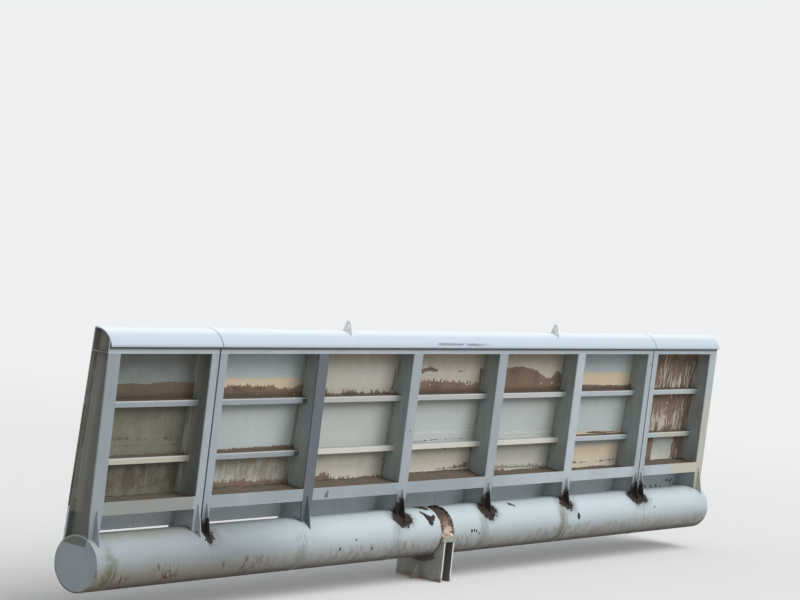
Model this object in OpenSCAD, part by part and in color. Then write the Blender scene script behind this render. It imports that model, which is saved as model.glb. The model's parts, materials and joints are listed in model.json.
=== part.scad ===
// Bottom-hinged flap gate for a sluice: a stiffened steel leaf that stands on a torque tube
// Origin: middle of the pedestal's underside. X runs along the tube, +Y is upstream, +Z is up
// All sizes are in millimetres

/* [Bays] */
// Rib pitch in the whole section between the two joints
middle_pitch = 1880; // [1500:10:2300]
// Rib pitch in the neighbouring sections
end_pitch = 1712; // [1400:10:2200]
// Distance from the bearing to the middle of its section
section_shift = 100; // [0:10:200]

/* [Leaf] */
// Distance from the tube's axis forward to the face of the rib flanges
front_offset = 132; // [100:2:160]
// Depth of the leaf from the flange face to the skin, at the top beam
depth_top = 240; // [200:5:300]
// Depth of the leaf from the flange face to the skin, at the height of the tube's axis
depth_axis = 359; // [320:1:370]
// Lean of the raised leaf towards the downstream side, in degrees
lean = 1.2; // [0:0.1:3]
// Thickness of the skin plate
skin_t = 12; // [8:1:20]
// Gap between two skin or crest plates at a section joint
plate_seam = 4; // [2:1:10]
// Gap left between the skin's foot and the tube in the bays where its closing strip is missing
open_foot = 52; // [30:2:80]

/* [Rows] */
// Height from the tube's axis to the lower edge of the lower beam
lower_beam_z = 533; // [480:1:600]
// Height of the lower beam's flange
lower_beam_h = 142; // [100:2:180]
// Clear height of the lowest row of cells
lower_row_h = 360; // [280:5:450]
// Clear height of the middle row of cells
middle_row_h = 562; // [450:2:700]
// Clear height of the top row of cells
upper_row_h = 542; // [450:2:700]
// Height of a stringer's face
stringer_h = 68; // [50:1:100]
// Depth of a stringer from its face to the skin
stringer_depth = 98; // [70:1:140]
// Thickness of a stringer's web and legs
stringer_t = 8; // [6:1:12]
// Thickness of the beam plates
beam_t = 14; // [10:1:20]

/* [Ribs] */
// Width of an intermediate rib's front flange
rib_flange_w = 186; // [150:2:220]
// Width of an intermediate rib's front flange where it lands on the tube
rib_foot_w = 144; // [120:2:180]
// Thickness of the rib flanges
rib_flange_t = 16; // [12:1:24]
// Thickness of the rib webs
rib_web_t = 12; // [8:1:20]
// Width of an intermediate rib's inner flange, against the skin
rib_inner_w = 150; // [120:2:180]
// Thickness of a rib's inner flange
rib_inner_t = 10; // [8:1:16]
// Width of the flanges of the ribs beside a joint
joint_flange_w = 120; // [100:2:150]
// Gap between the two ribs of a joint
joint_gap = 26; // [10:1:40]
// Thickness of the gusset in front of a rib's foot
gusset_t = 14; // [10:1:20]
// Height from the tube's axis to the gusset's upper end
gusset_z = 590; // [500:5:650]
// Width of the gusset's nose at its upper end
gusset_nose = 12; // [8:1:20]
// Place of the gusset's toe on the tube, in degrees round from upstream over the top
gusset_toe = 137.5; // [128:0.5:150]

/* [Crest] */
// Outer radius of the rolled crest plate
crest_r = 245; // [220:5:280]
// Thickness of the crest plate
crest_t = 12; // [8:1:16]
// Distance from the rib flange face back to the centre of the crest's curve
crest_back = 201; // [180:1:220]
// Height of the centre of the crest's curve above the top beam's lower edge
crest_rise = 16; // [0:1:40]
// Sweep of the crest from its top down to the front lip, in degrees
crest_sweep = 75; // [65:1:88]

/* [Lifting lugs] */
// Distance of a lug from the middle of the section
lug_x = 2270; // [1500:10:3000]
// Thickness of a lug
lug_t = 30; // [20:1:40]
// Radius of a lug's round top
lug_r = 34; // [30:1:45]
// Radius of the hole in a lug
lug_hole_r = 18; // [10:1:22]
// Height of the lug's hole above the top of the crest
lug_rise = 65; // [50:1:90]
// Height of the centre of the lug's round top above its hole
lug_head = 24; // [0:1:40]
// Distance of the lug's hole in front of the centre of the crest's curve
lug_forward = 80; // [30:1:100]
// Half width that the lug's edges reach at the height of the crest's centre
lug_foot = 140; // [60:1:160]

/* [Torque tube] */
// Outer radius of the torque tube
tube_r = 311; // [300:1:340]
// Wall thickness of the torque tube
tube_t = 16; // [12:1:24]
// Thickness of the disc that closes each end of the tube
tube_disc_t = 20; // [12:1:40]
// Radius of the journal that turns in the saddle
journal_r = 285; // [275:1:290]
// Width of the journal between its two collars
journal_w = 270; // [240:2:320]
// Width of each collar of the journal
collar_w = 30; // [20:1:50]
// Radius of the journal's bore
journal_bore_r = 250; // [220:1:260]

/* [Pedestal] */
// Height of the tube's axis above the pedestal's underside
axis_h = 600; // [500:5:800]
// Clear distance between the two cheeks
cheek_gap = 165; // [140:1:190]
// Thickness of a cheek
cheek_t = 25; // [16:1:30]
// Thickness of the webs between the cheeks
web_t = 16; // [10:1:25]
// Distance of the front and rear webs behind the cheek edges
web_recess = 95; // [20:1:110]
// Width of the saddle shell along the tube
saddle_w = 250; // [236:1:260]
// Thickness of the saddle shell
saddle_t = 24; // [16:1:30]
// Height of the thick foot under the saddle shell
saddle_foot_h = 70; // [40:5:90]
// Sweep of the saddle's foot from its middle to each end, in degrees
saddle_foot_sweep = 38; // [20:1:40]
// Width of the seat pads at the front and rear of the saddle
pad_w = 270; // [252:2:400]
// Height of the seat pads
pad_h = 65; // [50:5:110]
// Depth of a seat pad outside the turning tube
pad_d = 30; // [20:1:60]
// Depth of a pad's top below the tube's axis
pad_drop = 25; // [0:1:40]
// Width of a side gusset at its foot, outside the cheek
side_gusset_w = 150; // [80:5:200]
// Height at which a side gusset's sloped edge would meet the cheek
side_gusset_h = 275; // [225:5:400]

/* [Clearances] */
// Radial clearance of the journal in the saddle
journal_clear = 0.5; // [0.3:0.1:1]
// Clearance between a pad and the turning tube
pad_clear = 9; // [6:1:15]
// Gap between a plate and the skin, tube or shell that it is welded to
weld_gap = 0.3; // [0.2:0.1:0.6]

/* [Hidden] */
$fn = 96;

// Rib stations along the tube
section_bays = 5;
joint_1_x = section_shift - section_bays * middle_pitch / 2;
joint_2_x = section_shift + section_bays * middle_pitch / 2;
joint_rib_off = (joint_gap + joint_flange_w) / 2;
rib_1_x = joint_1_x - end_pitch;
rib_6_x = joint_2_x + end_pitch;
left_end_x = rib_1_x - rib_flange_w / 2;
right_end_x = rib_6_x + rib_flange_w / 2;

// A station is the place of a rib, its flange width and its inner flange width
function plain_station(x) = [x, rib_flange_w, rib_inner_w];
function joint_station(x) = [x, joint_flange_w, joint_flange_w];
left_stations = [plain_station(rib_1_x), joint_station(joint_1_x - joint_rib_off)];
middle_stations = [joint_station(joint_1_x + joint_rib_off),
    for (i = [1 : section_bays - 1]) plain_station(joint_1_x + i * middle_pitch),
    joint_station(joint_2_x - joint_rib_off)];
right_stations = [joint_station(joint_2_x + joint_rib_off), plain_station(rib_6_x)];
all_stations = concat(left_stations, middle_stations, right_stations);
// Spaces between neighbouring stations, from the left: true where the skin's closing strip is missing
open_bays = [true, false, true, false, false, false, false, false, false];

// Heights above the tube's axis
lower_stringer_z = lower_beam_z + lower_beam_h + lower_row_h;
upper_stringer_z = lower_stringer_z + stringer_h + middle_row_h;
top_beam_z = upper_stringer_z + stringer_h + upper_row_h;
crest_z = top_beam_z + crest_rise;
crest_y = crest_back - front_offset;
crest_top_z = crest_z + crest_r;
lug_hole_z = crest_top_z + lug_rise;
lug_hole_y = crest_y - lug_forward;

// Face of the skin as a straight line from the axis height to the top
function skin_y(z) = -front_offset + depth_axis + (depth_top - depth_axis) * z / top_beam_z;
// End of a plate that is welded to the skin's face
function plate_end_y(z) = skin_y(z) - weld_gap;
front_y = -front_offset;
flange_back_y = front_y + rib_flange_t;
seat_r = tube_r + weld_gap;
saddle_in_r = journal_r + journal_clear;
saddle_out_r = saddle_in_r + saddle_t;
saddle_seat_r = saddle_out_r + weld_gap;
saddle_foot_r = saddle_out_r + saddle_foot_h;
pedestal_y = tube_r + pad_clear + pad_d;
pad_bottom_z = axis_h - pad_drop - pad_h;
// Height at which the skin's outline ends inside the tube, before it is cut back to the tube's surface
skin_end_z = sqrt(pow(tube_r, 2) - pow(skin_y(0) + skin_t, 2)) - 2 * skin_t;

paint = [0.66, 0.74, 0.78];
crest_paint = [0.80, 0.88, 0.92];
shade_paint = [0.42, 0.48, 0.50];
bearing_steel = [0.52, 0.44, 0.36];

// Places the leaf at the tube's axis, with its lean
module leaf() {
    translate([0, 0, axis_h]) rotate([lean, 0, 0]) children();
}

// Extrudes an outline drawn as (y, z) from x0 to x1
module along_x(x0, x1) {
    translate([x0, 0, 0]) rotate([90, 0, 90]) linear_extrude(x1 - x0) children();
}

// Outline of a plate that leans with the skin, from off0 to off1 behind the skin's face
module skin_strip(z0, z1, off0, off1) {
    polygon([[skin_y(z0) + off0, z0], [skin_y(z0) + off1, z0], [skin_y(z1) + off1, z1], [skin_y(z1) + off0, z1]]);
}

// Length of the torque tube
module tube_can(x0, x1) {
    leaf() color(paint) along_x(x0, x1) difference() {
        circle(tube_r);
        circle(tube_r - tube_t);
    }
}

module tube_left() {
    tube_can(left_end_x, joint_1_x);
}

module tube_middle_left() {
    tube_can(joint_1_x, -journal_w / 2 - collar_w);
}

module tube_middle_right() {
    tube_can(journal_w / 2 + collar_w, joint_2_x);
}

module tube_right() {
    tube_can(joint_2_x, right_end_x);
}

// Turned neck between two collars, which the saddle locates along the tube
module tube_journal() {
    leaf() color(bearing_steel) rotate([0, 90, 0]) rotate_extrude() polygon([
        [journal_bore_r, -journal_w / 2 - collar_w], [tube_r, -journal_w / 2 - collar_w], [tube_r, -journal_w / 2],
        [journal_r, -journal_w / 2], [journal_r, journal_w / 2], [tube_r, journal_w / 2],
        [tube_r, journal_w / 2 + collar_w], [journal_bore_r, journal_w / 2 + collar_w]]);
}

// Discs that close the tube's two ends, inside its wall
module tube_end_discs() {
    disc_r = tube_r - tube_t - weld_gap;
    leaf() color(paint) {
        along_x(left_end_x, left_end_x + tube_disc_t) circle(disc_r);
        along_x(right_end_x - tube_disc_t, right_end_x) circle(disc_r);
    }
}

// Upstream skin plate, coped to the tube at its foot
module skin(x0, x1) {
    leaf() color(shade_paint) difference() {
        along_x(x0, x1) difference() {
            skin_strip(skin_end_z, crest_top_z - crest_t, 0, skin_t);
            circle(seat_r);
        }
        for (i = [0 : len(all_stations) - 2]) if (open_bays[i]) {
            a = all_stations[i];
            b = all_stations[i + 1];
            along_x(a[0] + a[2] / 2, b[0] - b[2] / 2) circle(tube_r + open_foot);
        }
    }
}

module skin_left() {
    skin(left_end_x, joint_1_x - plate_seam / 2);
}

module skin_middle() {
    skin(joint_1_x + plate_seam / 2, joint_2_x - plate_seam / 2);
}

module skin_right() {
    skin(joint_2_x + plate_seam / 2, right_end_x);
}

// Space under the crest plate, as an outline
module under_crest(gap) {
    translate([crest_y, crest_z]) circle(crest_r - crest_t - gap);
    translate([crest_y, top_beam_z]) square([skin_y(crest_top_z) + skin_t - crest_y, crest_top_z - crest_t - top_beam_z]);
}

// Rolled crest plate: an arc from the top to the front lip, and a short flat over the skin
module crest(x0, x1) {
    lip = 90 + crest_sweep;
    reach = 2 * crest_r;
    leaf() color(crest_paint) along_x(x0, x1) {
        translate([crest_y, crest_z]) intersection() {
            difference() {
                circle(crest_r);
                circle(crest_r - crest_t);
            }
            polygon([[0, 0], [0, reach], [-reach, reach], [reach * cos(lip), reach * sin(lip)]]);
        }
        translate([crest_y, crest_top_z - crest_t]) square([skin_y(crest_top_z) + skin_t - crest_y, crest_t]);
    }
}

module crest_left() {
    crest(left_end_x, joint_1_x - plate_seam / 2);
}

module crest_middle() {
    crest(joint_1_x + plate_seam / 2, joint_2_x - plate_seam / 2);
}

module crest_right() {
    crest(joint_2_x + plate_seam / 2, right_end_x);
}

// Plates that stiffen the crest over each rib
module crest_diaphragms() {
    floor_z = top_beam_z + beam_t;
    top_z = crest_top_z - crest_t;
    leaf() color(shade_paint) for (s = all_stations)
        along_x(s[0] - rib_web_t / 2, s[0] + rib_web_t / 2) intersection() {
            under_crest(weld_gap);
            polygon([[front_y + beam_t, floor_z], [plate_end_y(floor_z), floor_z], [plate_end_y(top_z), top_z],
                [front_y + beam_t, top_z]]);
        }
}

// Top beam: a front plate up to the crest and a shelf back to the skin
module top_beam(x0, x1) {
    leaf() color(paint) along_x(x0, x1) {
        intersection() {
            translate([front_y, top_beam_z]) square([beam_t, crest_r]);
            under_crest(weld_gap);
        }
        polygon([[front_y, top_beam_z], [plate_end_y(top_beam_z), top_beam_z],
            [plate_end_y(top_beam_z + beam_t), top_beam_z + beam_t], [front_y, top_beam_z + beam_t]]);
    }
}

module top_beam_left() {
    top_beam(left_end_x, joint_1_x - joint_gap / 2);
}

module top_beam_middle() {
    top_beam(joint_1_x + joint_gap / 2, joint_2_x - joint_gap / 2);
}

module top_beam_right() {
    top_beam(joint_2_x + joint_gap / 2, right_end_x);
}

// Inner flange of the rib at a station, against the skin
module inner_flange(s) {
    along_x(s[0] - s[2] / 2, s[0] + s[2] / 2) skin_strip(0, top_beam_z, -rib_inner_t, -weld_gap);
}

// Front flange of the rib at a station, as far as the beams meet it
module front_flange(s) {
    along_x(s[0] - s[1] / 2, s[0] + s[1] / 2) translate([front_y, lower_beam_z])
        square([rib_flange_t, top_beam_z - lower_beam_z]);
}

// One bay of a channel stringer, with its toes on the skin, between the webs of two ribs
module stringer_bay(s0, s1, z) {
    difference() {
        along_x(s0[0] + rib_web_t / 2, s1[0] - rib_web_t / 2) difference() {
            skin_strip(z, z + stringer_h, -stringer_depth, -weld_gap);
            skin_strip(z + stringer_t, z + stringer_h - stringer_t, -stringer_depth + stringer_t, stringer_t);
        }
        inner_flange(s0);
        inner_flange(s1);
    }
}

// Both rows of stringers of one section
module stringers(stations) {
    leaf() color(paint) for (i = [0 : len(stations) - 2], z = [lower_stringer_z, upper_stringer_z])
        stringer_bay(stations[i], stations[i + 1], z);
}

module stringers_left() {
    stringers(left_stations);
}

module stringers_middle() {
    stringers(middle_stations);
}

module stringers_right() {
    stringers(right_stations);
}

// One bay of the lower beam: a flange between the rib flanges and a web back to the skin
module lower_beam_bay(s0, s1) {
    web_z = lower_beam_z + (lower_beam_h - beam_t) / 2;
    difference() {
        union() {
            along_x(s0[0] + s0[1] / 2, s1[0] - s1[1] / 2) translate([front_y, lower_beam_z])
                square([beam_t, lower_beam_h]);
            along_x(s0[0] + rib_web_t / 2, s1[0] - rib_web_t / 2) polygon([
                [front_y, web_z], [plate_end_y(web_z), web_z],
                [plate_end_y(web_z + beam_t), web_z + beam_t], [front_y, web_z + beam_t]]);
        }
        for (s = [s0, s1]) {
            front_flange(s);
            inner_flange(s);
        }
    }
}

module lower_beam(stations) {
    leaf() color(paint) for (i = [0 : len(stations) - 2]) lower_beam_bay(stations[i], stations[i + 1]);
}

module lower_beam_left() {
    lower_beam(left_stations);
}

module lower_beam_middle() {
    lower_beam(middle_stations);
}

module lower_beam_right() {
    lower_beam(right_stations);
}

// Welded I-section rib, deeper towards its foot, cut to the round of the tube
module rib(s, foot_w) {
    leaf() color(paint) difference() {
        union() {
            translate([s[0], flange_back_y, 0]) rotate([90, 0, 0]) linear_extrude(rib_flange_t) polygon([
                [-foot_w / 2, 0], [foot_w / 2, 0], [foot_w / 2, tube_r * 0.9], [s[1] / 2, lower_beam_z],
                [s[1] / 2, top_beam_z], [-s[1] / 2, top_beam_z], [-s[1] / 2, lower_beam_z], [-foot_w / 2, tube_r * 0.9]]);
            along_x(s[0] - rib_web_t / 2, s[0] + rib_web_t / 2) polygon([
                [flange_back_y, 0], [skin_y(0) - rib_inner_t, 0],
                [skin_y(top_beam_z) - rib_inner_t, top_beam_z], [flange_back_y, top_beam_z]]);
            inner_flange(s);
        }
        along_x(s[0] - rib_flange_w, s[0] + rib_flange_w) circle(seat_r);
    }
}

module rib_1() {
    rib(left_stations[0], rib_foot_w);
}

module joint_rib_1_left() {
    rib(left_stations[1], joint_flange_w);
}

module joint_rib_1_right() {
    rib(middle_stations[0], joint_flange_w);
}

module rib_2() {
    rib(middle_stations[1], rib_foot_w);
}

module rib_3() {
    rib(middle_stations[2], rib_foot_w);
}

module rib_4() {
    rib(middle_stations[3], rib_foot_w);
}

module rib_5() {
    rib(middle_stations[4], rib_foot_w);
}

module joint_rib_2_left() {
    rib(middle_stations[5], joint_flange_w);
}

module joint_rib_2_right() {
    rib(right_stations[0], joint_flange_w);
}

module rib_6() {
    rib(right_stations[1], rib_foot_w);
}

// Gussets in front of the rib feet, from the flange down to a toe on the tube
module foot_gussets() {
    toe = tube_r * [cos(gusset_toe), sin(gusset_toe)];
    leaf() color(paint) for (s = all_stations)
        along_x(s[0] - gusset_t / 2, s[0] + gusset_t / 2) difference() {
            polygon([[front_y, gusset_z], [front_y - gusset_nose, gusset_z], toe, toe / 2, [front_y, tube_r / 2]]);
            circle(seat_r);
        }
}

// Point where a line from p touches the circle round c; side is 1 or -1
function touch_point(p, c, r, side) = let (d = norm(p - c), a = atan2(p[1] - c[1], p[0] - c[0]), b = acos(r / d))
    c + r * [cos(a + side * b), sin(a + side * b)];

// Plate lug with a round top, standing on the crest
module lifting_lug(x) {
    hole = [lug_hole_y, lug_hole_z];
    head = hole + [0, lug_head];
    rear = [lug_hole_y + lug_foot, crest_z];
    front = [lug_hole_y - lug_foot, crest_z];
    leaf() color(crest_paint) along_x(x - lug_t / 2, x + lug_t / 2) difference() {
        union() {
            translate(head) circle(lug_r);
            polygon([front, rear, touch_point(rear, head, lug_r, 1), head, touch_point(front, head, lug_r, -1)]);
        }
        translate(hole) circle(lug_hole_r);
        translate([crest_y, crest_z]) circle(crest_r + weld_gap);
        translate([crest_y, crest_z - crest_r]) square([crest_r, 2 * crest_r + weld_gap]);
    }
}

module lifting_lug_left() {
    lifting_lug(section_shift - lug_x);
}

module lifting_lug_right() {
    lifting_lug(section_shift + lug_x);
}

// Outside of the saddle round the tube's axis, a round with a thicker foot, grown by a gap
module saddle_outline(gap) {
    reach = 2 * saddle_foot_r;
    circle(saddle_out_r + gap);
    intersection() {
        circle(saddle_foot_r + gap);
        translate([0, gap / sin(saddle_foot_sweep)]) polygon([
            [0, 0],
            [-reach * sin(saddle_foot_sweep), -reach * cos(saddle_foot_sweep)],
            [reach * sin(saddle_foot_sweep), -reach * cos(saddle_foot_sweep)]
        ]);
    }
}

// Half-round bearing shell under the journal
module saddle_shell() {
    color(bearing_steel) translate([0, 0, axis_h]) along_x(-saddle_w / 2, saddle_w / 2) difference() {
        saddle_outline(0);
        circle(saddle_in_r);
        translate([-saddle_out_r, 0]) square([2 * saddle_out_r, saddle_out_r]);
    }
}

// Seat pad at the top of the cheeks; side is -1 at the front and 1 at the rear
module seat_pad(side) {
    color(paint) translate([0, 0, axis_h]) mirror([0, side > 0 ? 0 : 1, 0]) difference() {
        union() {
            translate([-pad_w / 2, tube_r + pad_clear, -pad_drop - pad_h]) cube([pad_w, pad_d, pad_h]);
            translate([-saddle_w / 2, saddle_out_r / 2, -pad_drop - pad_h])
                cube([saddle_w, pedestal_y - saddle_out_r / 2, pad_h]);
        }
        along_x(-pad_w, pad_w) circle(saddle_seat_r);
    }
}

module seat_pad_front() {
    seat_pad(-1);
}

module seat_pad_rear() {
    seat_pad(1);
}

// Cheek plate, cut to the outline of the saddle
module cheek(x0) {
    color(paint) along_x(x0, x0 + cheek_t) difference() {
        translate([-pedestal_y, 0]) square([2 * pedestal_y, pad_bottom_z]);
        translate([0, axis_h]) saddle_outline(weld_gap);
    }
}

module cheek_left() {
    cheek(-cheek_gap / 2 - cheek_t);
}

module cheek_right() {
    cheek(cheek_gap / 2);
}

// Web between the cheeks, its front face at y0; where it meets the saddle's foot it ends under it
module pedestal_web(y0) {
    foot_half = saddle_foot_r * sin(saddle_foot_sweep) + weld_gap;
    color(shade_paint) along_x(-cheek_gap / 2, cheek_gap / 2) difference() {
        translate([y0, 0]) square([web_t, pad_bottom_z]);
        translate([0, axis_h]) saddle_outline(weld_gap);
        translate([-foot_half, axis_h - saddle_foot_r * cos(saddle_foot_sweep)])
            square([2 * foot_half, saddle_foot_r]);
    }
}

module pedestal_front_web() {
    pedestal_web(-pedestal_y + web_recess);
}

module pedestal_middle_web() {
    pedestal_web(-web_t / 2);
}

module pedestal_rear_web() {
    pedestal_web(pedestal_y - web_recess - web_t);
}

// Sloped plates outside the cheeks, under the foot of the saddle
module pedestal_gussets() {
    foot_z = axis_h - saddle_foot_r - weld_gap;
    color(paint) for (side = [0, 1]) mirror([side, 0, 0]) translate([cheek_gap / 2 + cheek_t, web_t / 2, 0])
        rotate([90, 0, 0]) linear_extrude(web_t) intersection() {
            polygon([[0, 0], [side_gusset_w, 0], [0, side_gusset_h]]);
            square([side_gusset_w, foot_z]);
        }
}

tube_left();
tube_middle_left();
tube_journal();
tube_middle_right();
tube_right();
tube_end_discs();
skin_left();
skin_middle();
skin_right();
crest_left();
crest_middle();
crest_right();
crest_diaphragms();
top_beam_left();
top_beam_middle();
top_beam_right();
stringers_left();
stringers_middle();
stringers_right();
lower_beam_left();
lower_beam_middle();
lower_beam_right();
rib_1();
joint_rib_1_left();
joint_rib_1_right();
rib_2();
rib_3();
rib_4();
rib_5();
joint_rib_2_left();
joint_rib_2_right();
rib_6();
foot_gussets();
lifting_lug_left();
lifting_lug_right();
saddle_shell();
seat_pad_front();
seat_pad_rear();
cheek_left();
cheek_right();
pedestal_front_web();
pedestal_middle_web();
pedestal_rear_web();
pedestal_gussets();
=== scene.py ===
import json
import math

import bpy
import numpy as np
from mathutils import Matrix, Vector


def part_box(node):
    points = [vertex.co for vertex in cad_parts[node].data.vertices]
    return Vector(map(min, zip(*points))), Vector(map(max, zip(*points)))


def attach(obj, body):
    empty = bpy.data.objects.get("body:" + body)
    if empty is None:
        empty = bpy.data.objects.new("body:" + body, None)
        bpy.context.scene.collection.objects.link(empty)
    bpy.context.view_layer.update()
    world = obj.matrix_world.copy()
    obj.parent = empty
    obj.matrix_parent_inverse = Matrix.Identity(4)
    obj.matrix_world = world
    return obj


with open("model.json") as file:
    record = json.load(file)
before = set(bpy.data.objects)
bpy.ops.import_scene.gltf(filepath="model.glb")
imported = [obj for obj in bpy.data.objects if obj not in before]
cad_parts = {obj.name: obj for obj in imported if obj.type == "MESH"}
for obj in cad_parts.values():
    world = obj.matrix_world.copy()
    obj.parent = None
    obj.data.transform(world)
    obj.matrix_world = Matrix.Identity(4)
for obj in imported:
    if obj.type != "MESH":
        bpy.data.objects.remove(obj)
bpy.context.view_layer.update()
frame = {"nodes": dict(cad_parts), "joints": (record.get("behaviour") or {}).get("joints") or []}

bl_info = {
    "name": "Flap gate dressing",
    "version": (1, 0, 0),
    "blender": (4, 5, 0),
    "location": "3D View > Sidebar > Flap gate",
    "description": "Paint, stains, mud and welds for a bottom-hinged sluice gate",
    "category": "Object",
}

# Main sizes of the leaf, in metres and in the leaf's own frame: its origin is on the tube's axis
AXIS_Z = frame["joints"][0]["pos_m"][2]
LEAN = math.radians(1.2)
TUBE_R = 0.311
JOURNAL_HALF = 0.135
FRONT_Y = -0.132
FLANGE_T = 0.016
WEB_T = 0.012
INNER_T = 0.010
DEPTH_AXIS = 0.359
DEPTH_TOP = 0.240
TOP_BEAM_Z = 2.275
BEAM_T = 0.014
LOWER_BEAM_Z = 0.533
LOWER_BEAM_H = 0.142
STRINGER_D = 0.098
# Lower and upper edge of the skin in each row of cells, from the lowest row up
ROWS = ((0.611, 1.035), (1.103, 1.665), (1.733, 2.275))
SHELF_Z = ROWS[0][0]
# Front edge and top of the seat pads in the part's frame, and half the length of the saddle shell
PAD_Y = -0.350
PAD_TOP = AXIS_Z - 0.025
SADDLE_HALF = 0.125
# Slit between the skin and the plates on it; also the thinnest mud coat, and how far silt and mud are
# sunk into what they lie on
FILM = 0.0003


def node_middle_x(node):
    """Middle of a node along the tube."""
    low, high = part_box(node)
    return (low.x + high.x) / 2


# Ribs in order along the tube, and the half widths of their inner flanges
RIBS = ("rib_1", "joint_rib_1_left", "joint_rib_1_right", "rib_2", "rib_3", "rib_4", "rib_5",
        "joint_rib_2_left", "joint_rib_2_right", "rib_6")
RIB_X = [node_middle_x(name) for name in RIBS]
INNER_HALF = [0.060 if name.startswith("joint") else 0.075 for name in RIBS]
# Pairs of neighbouring ribs with a bay between them
BAYS = [(0, 1), (2, 3), (3, 4), (4, 5), (5, 6), (6, 7), (8, 9)]
JOINT_X = ((RIB_X[1] + RIB_X[2]) / 2, (RIB_X[7] + RIB_X[8]) / 2)
LEFT_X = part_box("tube_left")[0].x
RIGHT_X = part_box("tube_right")[1].x
# How far past the gate's ends the looks' tables reach
MARGIN = 0.1
BAY_STARTS = [LEFT_X - MARGIN] + [RIB_X[left] for left, right in BAYS[1:]]


def skin_y(z):
    """Face of the skin on the straight line from its depth at the axis to its depth at the top beam."""
    return FRONT_Y + DEPTH_AXIS + (DEPTH_TOP - DEPTH_AXIS) * z / TOP_BEAM_Z


def grid(x, y, z):
    """Points from their coordinates, each of them whole arrays, rows, columns or one number."""
    return np.stack(np.broadcast_arrays(x, y, z), -1)


def from_leaf(points):
    """Takes leaf points to the part's frame: turns them by the lean about the axis and lifts them."""
    x, y, z = np.moveaxis(np.asarray(points, float), -1, 0)
    c, s = math.cos(LEAN), math.sin(LEAN)
    return np.stack([x, y * c - z * s, y * s + z * c + AXIS_Z], -1)


def waves(t, seed, shortest, longest, count=7):
    """Smooth noise from about -1 to 1: a sum of sines with wavelengths from longest to shortest."""
    draw = np.random.default_rng(seed)
    lengths = np.geomspace(longest, shortest, count)[:, None]
    phases = draw.uniform(0, 2 * math.pi, count)[:, None]
    sizes = (lengths / longest) ** 0.45
    flat = np.asarray(t, float).ravel()[None, :]
    total = (sizes * np.sin(2 * math.pi * flat / lengths + phases)).sum(0)
    return (total / sizes.sum() * 1.7).reshape(np.shape(t))


# Meshes

def solid(sections, ring=False):
    """Closed surface through cross-sections: sections[i, j] is point j of outline i. Each outline is
    joined to the next; the end outlines are closed by one face each, or a ring joins up."""
    count, around = sections.shape[:2]
    i = np.arange(count if ring else count - 1)[:, None]
    j = np.arange(around)[None, :]
    after_i, after_j = (i + 1) % count, (j + 1) % around
    quads = np.stack([i * around + j, after_i * around + j, after_i * around + after_j,
                      i * around + after_j], -1).reshape(-1, 4)
    points = sections.reshape(-1, 3)
    a, b, c, d = (points[quads[:, k]] - points.mean(0) for k in range(4))
    volume = np.einsum("ij,ij->", a, np.cross(b, c)) + np.einsum("ij,ij->", a, np.cross(c, d))
    last = (count - 1) * around
    caps = [] if ring else [list(range(around))[::-1], list(range(last, last + around))]
    if volume < 0:
        quads = quads[:, ::-1]
        caps = [cap[::-1] for cap in caps]
    return points, quads, caps


def piece(name, solids, material, body="leaf", marks=None, rim=None):
    """Makes one object from closed surfaces, in the part's frame, and lets it ride on a body. marks
    holds numbers for each point, which the material reads by their name. rim = (points in front,
    points around) leaves the rims and backs of sheets flat, so that their fronts aren't shaded round."""
    points, faces, smooth, start = [], [], [], 0
    for corners, quads, caps in solids:
        points.append(corners)
        faces += (quads + start).tolist() + [[start + k for k in cap] for cap in caps]
        front = (quads % rim[1] < rim[0]).all(1) if rim else np.ones(len(quads), bool)
        smooth += front.tolist() + [not rim] * len(caps)
        start += len(corners)
    mesh = bpy.data.meshes.new(name)
    mesh.from_pydata(np.concatenate(points), [], faces)
    mesh.polygons.foreach_set("use_smooth", smooth)
    mesh.materials.append(material)
    for mark, numbers in (marks or {}).items():
        attribute = mesh.attributes.new(mark, "FLOAT", "POINT")
        attribute.data.foreach_set("value", np.asarray(numbers, np.float32))
    mesh.update()
    thing = bpy.data.objects.new(name, mesh)
    bpy.context.scene.collection.objects.link(thing)
    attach(thing, body)
    return thing


def fillet(path, leg_a, leg_b, size, seed=1):
    """Weld fillet along a path: a three-cornered outline between two plates, bulged outward, whose
    size swells and shrinks as the arc was moved on. leg_a and leg_b point along each plate."""
    path = np.asarray(path, float)
    along = np.concatenate([[0], np.cumsum(np.linalg.norm(np.diff(path, axis=0), axis=1))])
    ripple = np.sin(along * 2 * math.pi / 0.022)
    size = size * (1 + 0.10 * ripple + 0.12 * waves(along, seed, 0.05, 0.6))
    a, b = (np.broadcast_to(np.asarray(leg, float), path.shape) for leg in (leg_a, leg_b))
    s = size[:, None]
    outline = [path - 0.3 * s * (a + b), path + s * a - 0.2 * s * b,
               path + s * (0.62 * a + 0.40 * b), path + s * (0.40 * a + 0.62 * b),
               path + s * b - 0.2 * s * a]
    return solid(np.stack(outline, 1))


def bead_ring(x, radius, width, height, seed):
    """Weld bead round a tube: points at angle t and share s across the bead, lifted by height times
    cos(pi s) and by ripples of the arc, and sunk a little into the tube at the edges."""
    turns = np.linspace(0, 2 * math.pi, 220, endpoint=False)[:, None]
    across = np.linspace(-0.5, 0.5, 7)[None, :]
    ripple = 1 + 0.14 * np.sin(turns * 74) + 0.2 * waves(turns, seed, 0.2, 2.1)
    outer = radius - 0.0015 + np.maximum(height * np.cos(math.pi * across) * ripple, 0)
    wander = 0.0018 * waves(turns, seed + 5, 0.3, 3.1)
    xs = np.concatenate([x + across * width + wander, np.full((len(turns), 1), x)], 1)
    rs = np.concatenate([outer, np.full((len(turns), 1), radius - 0.006)], 1)
    return solid(from_leaf(grid(xs, -rs * np.cos(turns), rs * np.sin(turns))), ring=True)


# Points up the front of a mud coat, and how far inside its edge it reaches its full depth
COAT_FRONT = 13
COAT_SLOPE = 0.025


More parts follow.
